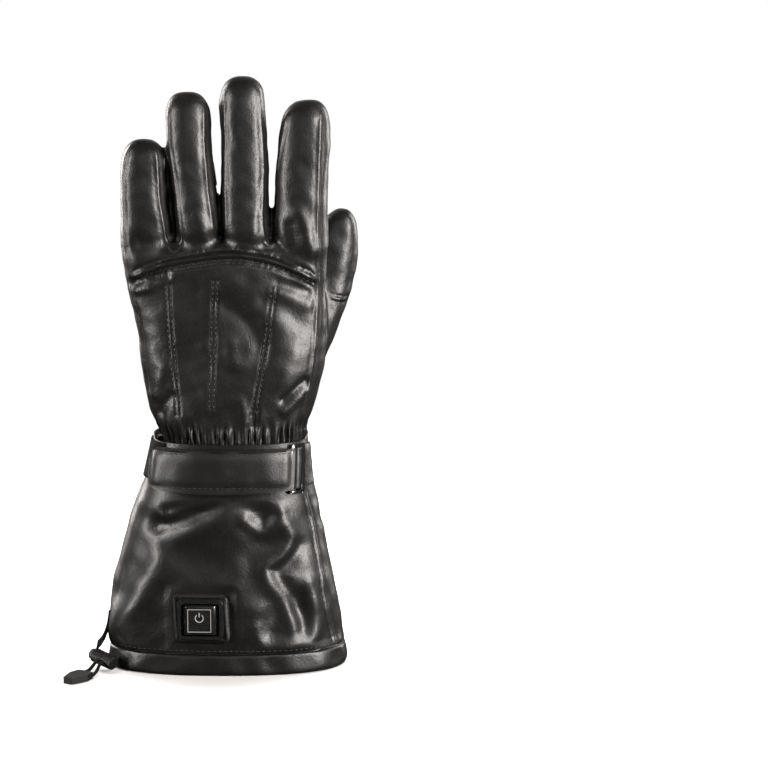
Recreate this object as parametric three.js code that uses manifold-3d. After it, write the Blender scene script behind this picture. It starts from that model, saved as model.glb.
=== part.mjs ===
// Left-hand heated glove, standing on the hem of its gauntlet cuff with the fingers up.
// Millimetres. The back of the hand faces -Y, the palm +Y, the thumb is on the +X side.
import * as THREE from 'three';
import Module from 'manifold-3d';
import { ParametricGeometry } from 'three/addons/geometries/ParametricGeometry.js';
import { mergeVertices } from 'three/addons/utils/BufferGeometryUtils.js';

const wasm = await Module();
wasm.setup();

// Driving dimensions
const CUFF_HEIGHT = 133;
const CUFF_TOP_WIDTH = 88.6;
const CUFF_TOP_DEPTH = 57;
const CUFF_WALL = 2.6;
const HEM_WIDTH = 134.4;
const HEM_DEPTH = 72;
const HEM_HEIGHT = 12;
const HEM_WALL = 4.4; // turned double round the lining
const HEM_BULGE = 1.2;
const FOLD_DEPTH = 4;
const FOLD_SPREAD = 10;
const WRIST_RISE = 4.4; // narrowest ring of the hand above the cuff's top edge
const WRIST_INSET = 5.3; // from the cuff's top edge in to the narrowest ring, on each side
const HAND_LENGTH = 109; // narrowest ring to the crotches of the fingers
const HAND_WIDTH = 116;
const HAND_DEPTH = 48;
const HAND_WALL = 4; // leather, padding and lining together
const SLEEVE_DROP = 26; // how far the hand's sleeve runs down inside the cuff
const SLEEVE_CUT = 2; // height of the cut that opens the sleeve's foot
const FINGER_LENGTH = 94; // the middle finger's, from its crotch
const FINGER_WIDTH = 28.4;
const FINGER_DEPTH = 26;
const FINGER_CURL = 8; // how far the longest fingertip leans to the palm
const FINGER_SETBACK = 1.5; // the fingers' centres lie this far to the back of the hand
const TIP_ROUNDING = 14;
const TIP_SEAM = 11; // the back leather wraps this far over each fingertip
const THUMB_LENGTH = 96;
const THUMB_DROP = 81; // from the fingers' crotches down to the thumb's root in the palm
const THUMB_WIDTH = 28;
const THUMB_DEPTH = 28;
const BAND_BACK = 6; // side panels and fourchettes reach this far to the back of the centre
const BAND_PALM = 4;
const SEAM_ALLOWANCE = 1; // trim on the hand stops this far short of the side seams
const GATHER_DEPTH = 1.8;
const GATHER_COUNT = 8;
const CLEARANCE = 0.3;
const PIPING = 1.1; // radius of the roll along the cuff's top edge
const STRAP_DROP = 5.5; // the strap's upper edge below the cuff's
const STRAP_HEIGHT = 24.5;
const STRAP_LEFT = -45;
const STRAP_RIGHT = 35.6;
const STRAP_THICKNESS = 3.2;
const STRAP_CORNER = 5;
const TAB_CORNER = 0.8;
const TAB_GAP = 0.5;
const BACKING_THICKNESS = 1.4; // hook-and-loop pad under the strap's free end
const BACKING_RIGHT = -38;
const BACKING_HEIGHT = 23;
const BACKING_RAISE = 6; // its lower edge above the strap's
const BACKING_WRAP = 16; // how far it runs round the side to the palm
const BACKING_CORNER = 2;
const RING_WIDTH = 10.4;
const RING_HEIGHT = 30;
const RING_WIRE = 2.6;
const RING_CORNER = 1.5;
const RING_HOLE_CORNER = 0.4;
const RING_TUCK = 3.8; // how far it reaches under the strap's folded end
const RING_LIFT = 0.9;
const BUTTON_X = -17.4;
const BUTTON_Z = 34;
const BUTTON_WIDTH = 26.8;
const BUTTON_HEIGHT = 24;
const BUTTON_RISE = 4.5; // the bezel's face above the leather
const BUTTON_RIM = 2.4;
const BUTTON_CORNER = 3.5;
const BEZEL_DEPTH = 12; // from its face into the cuff, before the cuff trims it
const EDGE_BEVEL = 0.8;
const PAD_BORDER = 2.7; // leather pad showing round the bezel
const PAD_RISE = 2.2;
const PAD_CORNER = 6;
const KEY_THICKNESS = 3.2;
const KEY_TRAVEL = 0.8;
const KEY_POCKET = 3;
const KEY_CORNER = 2;
const ZIP_LEFT = -41;
const ZIP_RIGHT = 51;
const ZIP_Z = 36;
const ZIP_WINDOW = 14;
const ZIP_CORNER = 3;
const TAPE_THICKNESS = 0.8;
const TEETH_LEFT = -35;
const TOOTH_PITCH = 3;
const TEETH_COUNT = 20;
const TEETH_WIDTH = 5;
const TEETH_THICKNESS = 1.3;
const SLIDER_X = 32;
const SLIDER_LENGTH = 13;
const SLIDER_WIDTH = 8.6;
const SLIDER_HEIGHT = 4.4;
const SLIDER_CORNER = 2.5;
const SLIDER_FOOT = 0.6; // its lowest point above the leather
const SLIDER_ROOT = 4; // how far its block runs down before the tape trims it
const PULL_LENGTH = 20;
const PULL_WIDTH = 7;
const PULL_THICKNESS = 1.4;
const PIVOT_RADIUS = 0.8; // crossbar of the pull, held under the slider's arch
const PIVOT_PLAY = 0.45;
const ARCH_WIDTH = 2.2;
const ARCH_WIRE = 1.3;
const ARCH_PLAY = 0.35;
const ARCH_ROOT = 1;
const WINDOW_PLAY = 0.5; // round the arch, in the pull's window
const WINDOW_CORNER = 0.3;
const CONNECTOR_X = 36.4;
const CONNECTOR_GAP = 2; // from the zip's window up to the patch
const CONNECTOR_WIDTH = 20.5;
const CONNECTOR_HEIGHT = 36;
const CONNECTOR_THICKNESS = 1.4;
const CONNECTOR_CORNER = 3.5;
const HOOD_WIDTH = 11.4;
const HOOD_LENGTH = 25.5;
const HOOD_RISE = 6.5;
const HOOD_RIGHT = 1.8; // its centre from the patch's
const HOOD_DOWN = 1.5;
const WELT_WIDTH = 2.8;
const WELT_RISE = 1.3;
const PATCH_THICKNESS = 1;
const INDEX_PATCH_FOOT = -12; // against the crotches' height
const INDEX_PATCH_TOP = 30;
const INDEX_PATCH_WIDTH = 20;
const CORD_DIAMETER = 2;
const LOCK_RADIUS = 4.2;
const LOCK_LENGTH = 15;
const LOCK_CHAMFER = 0.8;
const PLUNGER_RADIUS = 3.2;
const PLUNGER_LENGTH = 5;
const PLUNGER_RISE = 2.6; // how far it stands out of the lock
const PLUNGER_TRAVEL = 1.8;
const TAG_LENGTH = 17;
const TAG_WIDTH = 12.5;
const TAG_THICKNESS = 3.8;
const STRIP_WIDTH = 7;
const STRIP_THICKNESS = 1.2;

// length, width and depth are shares of the middle finger's, root is a share of the hand's width,
// lean is how far the finger goes sideways for each millimetre up.
const FINGERS = [
  { name: 'little', length: 0.628, width: 0.968, depth: 0.885, root: -0.418, lean: -0.03 },
  { name: 'ring', length: 0.9, width: 0.923, depth: 0.962, root: -0.167, lean: -0.054 },
  { name: 'middle', length: 1.0, width: 1.0, depth: 1.0, root: 0.072, lean: -0.013 },
  { name: 'index', length: 0.857, width: 1.092, depth: 0.981, root: 0.342, lean: 0.032 },
];

const HAND_SIDES = 32;
const FINGER_SIDES = 12;
const LINING_SIDES = 8;
const CUFF_SIDES = 32;
const ROUND_SIDES = 12;
const HOOP_SIDES = 24;
const CORD_SIDES = 8;
const CORD_STEPS = 25;
const HOOD_SIDES = 12;
const HOOD_CAPS = 5;
const CURVE_STEPS = 2; // along a corner's quarter turn
const FINE_STEPS = 6;
const SQUARENESS = 2.4; // 2 is an ellipse, more is nearer a rounded box
const REACH = 120; // longer than any half depth, for cutting tools

const WRIST_Z = CUFF_HEIGHT + WRIST_RISE;
const WRIST_WIDTH = CUFF_TOP_WIDTH - 2 * WRIST_INSET;
const HAND_TOP = WRIST_Z + HAND_LENGTH;

// The hand from its narrowest ring up. swell runs from the wrist's width to the hand's,
// shift is a share of the hand's width, depth a share of its depth, gather how deep the pleats are.
const HAND_ROWS = [
  { up: 0.0, swell: 0.0, shift: -0.002, depth: 1.0, gather: 1.0 },
  { up: 0.08, swell: 0.22, shift: -0.003, depth: 1.0, gather: 0.6 },
  { up: 0.18, swell: 0.46, shift: -0.004, depth: 0.98, gather: 0.0 },
  { up: 0.33, swell: 0.67, shift: 0.002, depth: 0.96, gather: 0.0 },
  { up: 0.54, swell: 0.82, shift: 0.008, depth: 0.89, gather: 0.0 },
  { up: 0.76, swell: 0.94, shift: -0.012, depth: 0.78, gather: 0.0 },
  { up: 0.88, swell: 1.0, shift: -0.022, depth: 0.69, gather: 0.0 },
  { up: 0.95, swell: 0.92, shift: -0.022, depth: 0.6, gather: 0.0 },
  { up: 1.0, swell: 0.7, shift: -0.022, depth: 0.42, gather: 0.0 },
];

// A finger from inside the hand to its tip, before the tip is rounded.
const FINGER_ROWS = [
  { up: -0.3, width: 0.83, depth: 0.98 },
  { up: 0.0, width: 1.05, depth: 1.1 },
  { up: 0.45, width: 1.0, depth: 1.0 },
  { up: 1.0, width: 0.88, depth: 0.9 },
];
const TIP_STEPS = [0, 0.55, 0.92];

// The thumb from its root in the palm to its tip. across is a share of the hand's width,
// out a share of its depth.
const THUMB_ROWS = [
  { up: 0.0, across: 0.255, out: 0.2, width: 1.18, depth: 1.12 },
  { up: 0.12, across: 0.305, out: 0.3, width: 1.14, depth: 1.2 },
  { up: 0.26, across: 0.363, out: 0.385, width: 1.1, depth: 1.18 },
  { up: 0.42, across: 0.416, out: 0.45, width: 1.06, depth: 1.12 },
  { up: 0.58, across: 0.462, out: 0.49, width: 1.02, depth: 1.04 },
  { up: 0.74, across: 0.49, out: 0.51, width: 1.0, depth: 1.0 },
  { up: 1.0, across: 0.506, out: 0.51, width: 0.94, depth: 0.92 },
];

// The cuff from the hem seam to its top edge. flare runs from the top's size to the hem's,
// shift is a share of the hem's width.
const CUFF_ROWS = [
  { up: 0.0, flare: 1.0, shift: -0.02 },
  { up: 0.15, flare: 0.955, shift: -0.037 },
  { up: 0.3, flare: 0.86, shift: -0.046 },
  { up: 0.4, flare: 0.755, shift: -0.046 },
  { up: 0.5, flare: 0.61, shift: -0.042 },
  { up: 0.62, flare: 0.43, shift: -0.034 },
  { up: 0.7, flare: 0.33, shift: -0.026 },
  { up: 0.82, flare: 0.17, shift: -0.018 },
  { up: 1.0, flare: 0.0, shift: -0.01 },
];

// Folds of the cuff: from and to are shares of the hem's half width and of the cuff's height,
// rise is the height of a ridge or, below zero, the depth of a dent, as a share of the deepest
// fold's, and spread a share of the widest's.
const FOLDS = [
  { side: 'back', from: [-0.62, 0.63], to: [-0.2, 0.75], rise: -0.85, spread: 0.7 },
  { side: 'back', from: [-0.66, 0.72], to: [-0.3, 0.79], rise: 0.3, spread: 0.5 },
  { side: 'back', from: [0.22, 0.7], to: [0.3, 0.72], rise: -1, spread: 0.9 },
  { side: 'back', from: [0.2, 0.57], to: [0.44, 0.63], rise: 0.55, spread: 0.6 },
  { side: 'back', from: [0.44, 0.54], to: [0.3, 0.43], rise: 0.5, spread: 0.6 },
  { side: 'back', from: [0.5, 0.44], to: [0.4, 0.3], rise: -0.5, spread: 0.6 },
  { side: 'back', from: [0.68, 0.3], to: [0.66, 0.16], rise: -0.6, spread: 0.7 },
  { side: 'back', from: [0.42, 0.36], to: [0.46, 0.14], rise: 0.45, spread: 0.6 },
  { side: 'back', from: [-0.74, 0.5], to: [-0.9, 0.3], rise: -0.6, spread: 0.9 },
  { side: 'back', from: [-0.9, 0.18], to: [-0.55, 0.42], rise: 0.4, spread: 0.8 },
  { side: 'palm', from: [-0.3, 0.86], to: [-0.66, 0.62], rise: -0.65, spread: 0.9 },
  { side: 'palm', from: [-0.1, 0.66], to: [-0.5, 0.4], rise: 0.4, spread: 1 },
  { side: 'palm', from: [0.28, 0.86], to: [0.34, 0.6], rise: -0.45, spread: 0.8 },
  { side: 'palm', from: [-0.86, 0.5], to: [-0.95, 0.2], rise: -0.6, spread: 0.8 },
];

const leather = { color: 0x17171a, roughness: 0.36, metalness: 0 };
const finish = {
  leather,
  gussetLeather: { ...leather, color: 0x222226 },
  suede: { color: 0x0c0c0d, roughness: 0.95, metalness: 0 },
  webbing: { color: 0x0e0e10, roughness: 0.9, metalness: 0 },
  plastic: { color: 0x101114, roughness: 0.25, metalness: 0 },
  rubber: { color: 0x1b1c1f, roughness: 0.55, metalness: 0 },
  zip: { color: 0x24252a, roughness: 0.3, metalness: 0.6 },
};

// Rows of the hem band and of the piping. out is a share of the hem's bulge for the hem and of
// the radius for the piping.
const HEM_ROWS = [
  { up: 0, out: -1 },
  { up: 0.35, out: 0.75 },
  { up: 1, out: 0 },
];
const PIPING_ROWS = [
  { up: 0, out: 0.4 },
  { up: 1, out: 1 },
  { up: 2, out: 0.4 },
];

// Places of the drawcord's fittings
const LOCK_CENTRE = [-74, -23, 6.6];
const LOCK_DIRECTION = [15, -10, -4]; // from the plunger to the barrel's closed end
const TAG_CENTRE = [-83.2, -37.4];
const TAG_DIRECTION = [-6, -10, 0];
const TAG_LIFT = 0.1;

// Turning three.js geometry into closed solids and back
function solid(geometry) {
  const bare = geometry.clone();
  bare.deleteAttribute('normal');
  bare.deleteAttribute('uv');
  const merged = mergeVertices(bare, 1e-4);
  const index = merged.index.array;
  const corners = [];
  for (let i = 0; i < index.length; i += 3) {
    const [a, b, c] = [index[i], index[i + 1], index[i + 2]];
    if (a !== b && b !== c && c !== a) corners.push(a, b, c);
  }
  const mesh = new wasm.Mesh({
    numProp: 3,
    vertProperties: new Float32Array(merged.attributes.position.array),
    triVerts: new Uint32Array(corners),
  });
  return new wasm.Manifold(mesh);
}

function join(solids) {
  return solids.reduce((sum, next) => sum.add(next));
}

const glove = new THREE.Group();

function piece(name, body, look) {
  const { vertProperties, triVerts } = body.getMesh();
  const geometry = new THREE.BufferGeometry();
  geometry.setAttribute('position', new THREE.BufferAttribute(vertProperties, 3));
  geometry.setIndex(new THREE.BufferAttribute(triVerts, 1));
  geometry.computeVertexNormals();
  const mesh = new THREE.Mesh(geometry, new THREE.MeshStandardMaterial(look));
  mesh.name = name;
  glove.add(mesh);
}

// Lofts through level rings
function loft(rings) {
  const sides = rings[0].length;
  const pole = (points) => {
    const sum = points.reduce((total, point) => total.add(point), new THREE.Vector3());
    const middle = sum.divideScalar(sides);
    return points.map(() => middle);
  };
  const rows = [pole(rings[0]), ...rings, pole(rings.at(-1))];
  const steps = rows.length - 1;
  const surface = (u, v, out) => {
    out.copy(rows[Math.round(v * steps)][Math.round(u * sides) % sides]);
  };
  return solid(new ParametricGeometry(surface, sides, steps));
}

function ring({ x, y, z, halfX, halfY }, sides, offset = () => 0) {
  return Array.from({ length: sides }, (_, k) => {
    const angle = (2 * Math.PI * k) / sides;
    const push = offset(angle);
    const bow = (value) => Math.sign(value) * Math.abs(value) ** (2 / SQUARENESS);
    return new THREE.Vector3(
      x + (halfX + push) * bow(Math.cos(angle)),
      y + (halfY + push) * bow(Math.sin(angle)),
      z,
    );
  });
}

function between(rows, up) {
  const after = rows.findIndex((row) => row.up >= up);
  if (after <= 0) return after === 0 ? rows[0] : rows.at(-1);
  const [low, high] = [rows[after - 1], rows[after]];
  const share = (up - low.up) / (high.up - low.up);
  return Object.fromEntries(
    Object.keys(low).map((key) => [key, low[key] + (high[key] - low[key]) * share]),
  );
}

// The cuff's surface
function distanceToFold(x, z, fold) {
  const [fromX, toX] = [fold.from[0], fold.to[0]].map((share) => (share * HEM_WIDTH) / 2);
  const [fromZ, toZ] = [fold.from[1], fold.to[1]].map((share) => share * CUFF_HEIGHT);
  const line = new THREE.Line3(new THREE.Vector3(fromX, 0, fromZ), new THREE.Vector3(toX, 0, toZ));
  const spot = new THREE.Vector3(x, 0, z);
  return line.closestPointToPoint(spot, true, new THREE.Vector3()).distanceTo(spot);
}

function foldAt(x, y, z) {
  const side = y < 0 ? 'back' : 'palm';
  return FOLDS.filter((fold) => fold.side === side).reduce((sum, fold) => {
    const away = distanceToFold(x, z, fold) / (fold.spread * FOLD_SPREAD);
    return sum + fold.rise * FOLD_DEPTH * Math.exp(-away * away);
  }, 0);
}

function cuffSection(z) {
  const row = between(CUFF_ROWS, (z - HEM_HEIGHT) / (CUFF_HEIGHT - HEM_HEIGHT));
  return {
    x: row.shift * HEM_WIDTH,
    y: 0,
    z,
    halfX: (CUFF_TOP_WIDTH + (HEM_WIDTH - CUFF_TOP_WIDTH) * row.flare) / 2,
    halfY: (CUFF_TOP_DEPTH + (HEM_DEPTH - CUFF_TOP_DEPTH) * row.flare) / 2,
  };
}

function cuffRing(z, grow) {
  const section = cuffSection(z);
  const flat = ring(section, CUFF_SIDES);
  return ring(section, CUFF_SIDES, (angle) => {
    const point = flat[Math.round((angle * CUFF_SIDES) / (2 * Math.PI))];
    const fade = Math.min(1, Math.abs(point.y) / (0.4 * section.halfY));
    return grow + fade * foldAt(point.x, point.y, z);
  });
}

// The cuff filled in, grown outwards or inwards, and stretched past its ends if asked
function cuffForm(grow, past = 0) {
  const rings = CUFF_ROWS.map((row) => {
    return cuffRing(HEM_HEIGHT + row.up * (CUFF_HEIGHT - HEM_HEIGHT), grow);
  });
  if (past > 0) {
    rings[0].forEach((point) => point.setZ(HEM_HEIGHT - past));
    rings.at(-1).forEach((point) => point.setZ(CUFF_HEIGHT + past));
  }
  return loft(rings);
}

// The hand and its fingers
function fingerDepthAt(z) {
  const above = Math.max(0, z - HAND_TOP) / FINGER_LENGTH;
  return FINGER_CURL * above * above - FINGER_SETBACK;
}

// The lining is plainer than the leather: it takes every second row
function rowsFor(grow, rows) {
  return grow < 0 ? rows.filter((_, k) => k % 2 === 0) : rows;
}

function handForm(grow, sides) {
  const sleeve = [1, 0.5].map((share) => {
    const z = CUFF_HEIGHT - share * SLEEVE_DROP;
    return ring(cuffSection(z), sides, () => grow - CUFF_WALL);
  });
  const hand = rowsFor(grow, HAND_ROWS).map((row) => {
    const section = {
      x: row.shift * HAND_WIDTH,
      y: 0,
      z: WRIST_Z + row.up * HAND_LENGTH + (row.up === 1 ? grow : 0),
      halfX: (WRIST_WIDTH + (HAND_WIDTH - WRIST_WIDTH) * row.swell) / 2,
      halfY: (HAND_DEPTH * row.depth) / 2,
    };
    const pleat = (angle) => {
      return (GATHER_DEPTH * row.gather * (Math.cos(GATHER_COUNT * angle) - 1)) / 2;
    };
    return ring(section, sides, (angle) => grow + pleat(angle));
  });
  return loft([...sleeve, ...hand]);
}

function tipRows(rows, length) {
  const straight = 1 - TIP_ROUNDING / length;
  const below = rows.filter((row) => row.up < straight);
  const round = TIP_STEPS.map((step) => {
    const row = between(rows, straight + (1 - straight) * step);
    const bulge = (1 - step ** SQUARENESS) ** (1 / SQUARENESS);
    return { ...row, up: straight + (1 - straight) * step, bulge };
  });
  return [...below.map((row) => ({ ...row, bulge: 1 })), ...round];
}

function fingerForm(finger, grow, sides) {
  const length = finger.length * FINGER_LENGTH;
  const rings = tipRows(rowsFor(grow, FINGER_ROWS), length).map((row) => {
    const z = HAND_TOP + row.up * (row.up < 0 ? length : length + grow);
    const section = {
      x: finger.root * HAND_WIDTH + finger.lean * Math.max(0, z - HAND_TOP),
      y: fingerDepthAt(z),
      z,
      halfX: (FINGER_WIDTH / 2) * finger.width * row.width * row.bulge,
      halfY: (FINGER_DEPTH / 2) * finger.depth * row.depth * row.bulge,
    };
    return ring(section, sides, () => grow * row.bulge);
  });
  return loft(rings);
}

const THUMB_ROOT_Z = HAND_TOP - THUMB_DROP;

function thumbSection(row, grow) {
  return {
    x: row.across * HAND_WIDTH,
    y: row.out * HAND_DEPTH,
    z: THUMB_ROOT_Z + row.up * (THUMB_LENGTH + grow),
    halfX: (THUMB_WIDTH / 2) * row.width * row.bulge,
    halfY: (THUMB_DEPTH / 2) * row.depth * row.bulge,
  };
}

function thumbForm(grow, sides) {
  const rings = tipRows(rowsFor(grow, THUMB_ROWS), THUMB_LENGTH).map((row) => {
    return ring(thumbSection(row, grow), sides, () => grow * row.bulge);
  });
  return loft(rings);
}

function gloveForm(grow, handSides, fingerSides) {
  return join([
    handForm(grow, handSides),
    ...FINGERS.map((finger) => fingerForm(finger, grow, fingerSides)),
  ]);
}

// Cutting tools
// A flat outline in x and z, extended along y: to the back, to the palm or both ways
function prism(shape, side) {
  const depth = side === 'through' ? 2 * REACH : REACH;
  const settings = { depth, bevelEnabled: false, curveSegments: CURVE_STEPS };
  const geometry = new THREE.ExtrudeGeometry(shape, settings);
  geometry.rotateX(Math.PI / 2);
  if (side !== 'back') geometry.translate(0, REACH, 0);
  return solid(geometry);
}

function block(size, centre) {
  return solid(new THREE.BoxGeometry(...size).translate(...centre));
}

function roundedRect(left, foot, width, height, radius) {
  const shape = new THREE.Shape();
  const [right, top] = [left + width, foot + height];
  shape.moveTo(left + radius, foot);
  shape.lineTo(right - radius, foot).absarc(right - radius, foot + radius, radius, -Math.PI / 2, 0);
  shape.lineTo(right, top - radius).absarc(right - radius, top - radius, radius, 0, Math.PI / 2);
  shape.lineTo(left + radius, top).absarc(left + radius, top - radius, radius, Math.PI / 2, Math.PI);
  shape.lineTo(left, foot + radius);
  shape.absarc(left + radius, foot + radius, radius, Math.PI, 1.5 * Math.PI);
  return shape;
}

function polygon(points) {
  return new THREE.Shape(points.map(([x, y]) => new THREE.Vector2(x, y)));
}

// Leather that lies on the cuff or on the hand, from just clear of it to its own thickness
function onCuff(tool, thickness) {
  return cuffForm(CLEARANCE + thickness).subtract(cuffForm(CLEARANCE)).intersect(tool);
}

const clearOfHand = gloveForm(CLEARANCE, HAND_SIDES, FINGER_SIDES);

function onHand(tool, thickness) {
  const skin = gloveForm(CLEARANCE + thickness, HAND_SIDES, FINGER_SIDES);
  return skin.subtract(clearOfHand).intersect(tool);
}

// Hand, fingers and thumb as sewn panels
const thumbOutside = thumbForm(0, ROUND_SIDES);
const thumbLining = thumbForm(-HAND_WALL, LINING_SIDES);
const sleeveRoom = cuffForm(-CUFF_WALL - CLEARANCE)
  .add(block([2 * REACH, 2 * REACH, 4 * REACH], [0, 0, CUFF_HEIGHT + 2 * REACH - CLEARANCE]));
const handShell = gloveForm(0, HAND_SIDES, FINGER_SIDES)
  .intersect(sleeveRoom)
  .subtract(gloveForm(-HAND_WALL, HAND_SIDES / 2, LINING_SIDES))
  .subtract(block([HAND_WIDTH, REACH, SLEEVE_CUT], [0, 0, CUFF_HEIGHT - SLEEVE_DROP]))
  .subtract(thumbLining);
const thumbShell = thumbOutside.subtract(thumbLining).subtract(clearOfHand);

// The space between two surfaces that follow the fingers' curl, at these distances from it
function slice(near, far) {
  const steps = [-HAND_TOP, 0, 0.25, 0.5, 0.75, 1, 1.3];
  const heights = steps.map((step) => HAND_TOP + step * (step < 0 ? 1 : FINGER_LENGTH));
  const edge = (away) => heights.map((z) => [fingerDepthAt(z) + away, z]);
  const shape = polygon([...edge(near), ...edge(far).reverse()]);
  const geometry = new THREE.ExtrudeGeometry(shape, { depth: 2 * REACH, bevelEnabled: false });
  const turn = new THREE.Matrix4().makeBasis(
    new THREE.Vector3(0, 1, 0),
    new THREE.Vector3(0, 0, 1),
    new THREE.Vector3(1, 0, 0),
  );
  return solid(geometry.applyMatrix4(turn).translate(-REACH, 0, 0));
}

function tipCaps(grow) {
  return join(FINGERS.map((finger) => {
    const length = finger.length * FINGER_LENGTH;
    const size = [finger.width * FINGER_WIDTH + 2 * grow, REACH, 2 * (TIP_SEAM + grow)];
    const x = finger.root * HAND_WIDTH + finger.lean * length;
    return block(size, [x, 0, HAND_TOP + length]);
  }));
}

const backZone = slice(-REACH, -BAND_BACK).add(tipCaps(0));
const bandZone = slice(CLEARANCE - BAND_BACK, BAND_PALM).subtract(tipCaps(CLEARANCE));
const palmZone = slice(BAND_PALM + CLEARANCE, REACH).subtract(tipCaps(CLEARANCE));

function middleX(body) {
  const box = body.boundingBox();
  return box.min[0] + box.max[0];
}

piece('back_panel', handShell.intersect(backZone), finish.leather);
piece('palm_panel', handShell.intersect(palmZone), finish.leather);
const bands = handShell.intersect(bandZone).decompose().sort((a, b) => middleX(a) - middleX(b));
const bandNames = [
  'little_side_panel',
  'fourchette_little_ring',
  'fourchette_ring_middle',
  'fourchette_middle_index',
  'thumb_side_panel',
];
bandNames.forEach((name, k) => piece(name, bands[k], finish.gussetLeather));

// The thumb's seam runs up its middle, from the root to the tip
const seamLine = THUMB_ROWS.map((row) => [
  row.across * HAND_WIDTH,
  THUMB_ROOT_Z + row.up * THUMB_LENGTH,
]);
const thumbSide = (away, end) => {
  const line = seamLine.map(([x, z]) => [x + away, z]);
  const top = THUMB_ROOT_Z + 2 * THUMB_LENGTH;
  const outline = [[end, line[0][1]], ...line, [line.at(-1)[0], top], [end, top]];
  return prism(polygon(outline), 'through');
};
piece('thumb_inner_panel', thumbShell.intersect(thumbSide(0, -REACH)), finish.leather);
piece('thumb_outer_panel', thumbShell.intersect(thumbSide(CLEARANCE, REACH)), finish.leather);

// Welt over the knuckles and the patches of the palm. Places are shares of the hand's width
// and of the height from the wrist to the crotches.
function onGrid([across, up]) {
  return [across * HAND_WIDTH, WRIST_Z + up * HAND_LENGTH];
}

const WELT_LINE = [[-0.43, 0.83], [-0.226, 0.905], [0, 0.938], [0.182, 0.91], [0.393, 0.825]];

function ribbon(points, width) {
  const curve = new THREE.SplineCurve(points.map(([x, y]) => new THREE.Vector2(x, y)));
  const steps = 3 * (points.length - 1);
  const edge = (away) => curve.getPoints(steps).map((point, k) => {
    const along = curve.getTangent(k / steps);
    return [point.x - along.y * away, point.y + along.x * away];
  });
  return polygon([...edge(-width / 2), ...edge(width / 2).reverse()]);
}

const backOnly = slice(-REACH, -BAND_BACK - SEAM_ALLOWANCE);
const palmOnly = slice(BAND_PALM + SEAM_ALLOWANCE, REACH);
const weltTool = prism(ribbon(WELT_LINE.map(onGrid), WELT_WIDTH), 'back').intersect(backOnly);
piece('knuckle_welt', onHand(weltTool, WELT_RISE), finish.leather);

const SUEDE_CORNERS = [
  [-0.5, 0.6], [-0.39, 0.59], [0.01, 0.48], [0.03, 0.16], [0.045, 0.03], [-0.45, 0.03],
];
const suedeTool = prism(polygon(SUEDE_CORNERS.map(onGrid)), 'palm').intersect(palmOnly);
piece('suede_patch', onHand(suedeTool, PATCH_THICKNESS), finish.suede);

const indexX = FINGERS.at(-1).root * HAND_WIDTH;
const archRadius = INDEX_PATCH_WIDTH / 2;
const indexPatch = new THREE.Shape();
indexPatch.moveTo(indexX - archRadius, HAND_TOP + INDEX_PATCH_FOOT);
indexPatch.lineTo(indexX + archRadius, HAND_TOP + INDEX_PATCH_FOOT);
indexPatch.lineTo(indexX + archRadius, HAND_TOP + INDEX_PATCH_TOP - archRadius);
indexPatch.absarc(indexX, HAND_TOP + INDEX_PATCH_TOP - archRadius, archRadius, 0, Math.PI);
const patchTool = prism(indexPatch, 'palm').intersect(palmOnly)
  .subtract(thumbForm(CLEARANCE, ROUND_SIDES));
piece('index_patch', onHand(patchTool, PATCH_THICKNESS), finish.leather);

// Cuff, sewn from a back and a palm half, with its piping and hem
const cuffShell = cuffForm(0).subtract(cuffForm(-CUFF_WALL, 1));
const backHalf = block([2 * REACH, REACH, 2 * REACH], [0, -REACH / 2, REACH]);
const palmHalf = block([2 * REACH, REACH, 2 * REACH], [0, REACH / 2 + CLEARANCE, REACH]);
piece('cuff_back_panel', cuffShell.intersect(backHalf), finish.leather);
piece('cuff_palm_panel', cuffShell.intersect(palmHalf), finish.leather);

// Closed hoops of level rings round a straight hole
function hoop(rows, section, inner, sides) {
  const outer = loft(rows.map((row) => ring({ ...section, z: row.z }, sides, () => row.outer)));
  const ends = [rows[0].z - 1, rows.at(-1).z + 1];
  return outer.subtract(loft(ends.map((z) => ring({ ...section, z }, sides, () => inner))));
}

const hemSection = cuffSection(HEM_HEIGHT);
const hemBand = (grow) => hoop(HEM_ROWS.map((row) => ({
  z: row.up * (HEM_HEIGHT - CLEARANCE),
  outer: row.out * HEM_BULGE + grow,
})), hemSection, -HEM_WALL, CUFF_SIDES);
piece('hem_band', hemBand(0), finish.leather);

const topSection = cuffSection(CUFF_HEIGHT);
const pipingRows = PIPING_ROWS.map((row) => ({
  z: CUFF_HEIGHT + CLEARANCE + PIPING * row.up,
  outer: -CUFF_WALL / 2 + PIPING * row.out,
}));
const piping = hoop(pipingRows, topSection, -CUFF_WALL / 2 - PIPING, HOOP_SIDES);
piece('cuff_piping', piping, finish.leather);

// Wrist strap, its hook-and-loop pad, the ring it turns round and the tab that holds the ring
const strapFoot = CUFF_HEIGHT - STRAP_DROP - STRAP_HEIGHT;
const backingFoot = strapFoot + BACKING_RAISE;
const backingOutline = (grow) => roundedRect(
  -REACH, backingFoot - grow, REACH + BACKING_RIGHT + grow, BACKING_HEIGHT + 2 * grow,
  BACKING_CORNER,
);
const backingTool = prism(backingOutline(0), 'through')
  .subtract(block([2 * REACH, REACH, 2 * REACH], [0, REACH / 2 + BACKING_WRAP, strapFoot]));
piece('strap_backing', onCuff(backingTool, BACKING_THICKNESS), finish.webbing);

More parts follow.
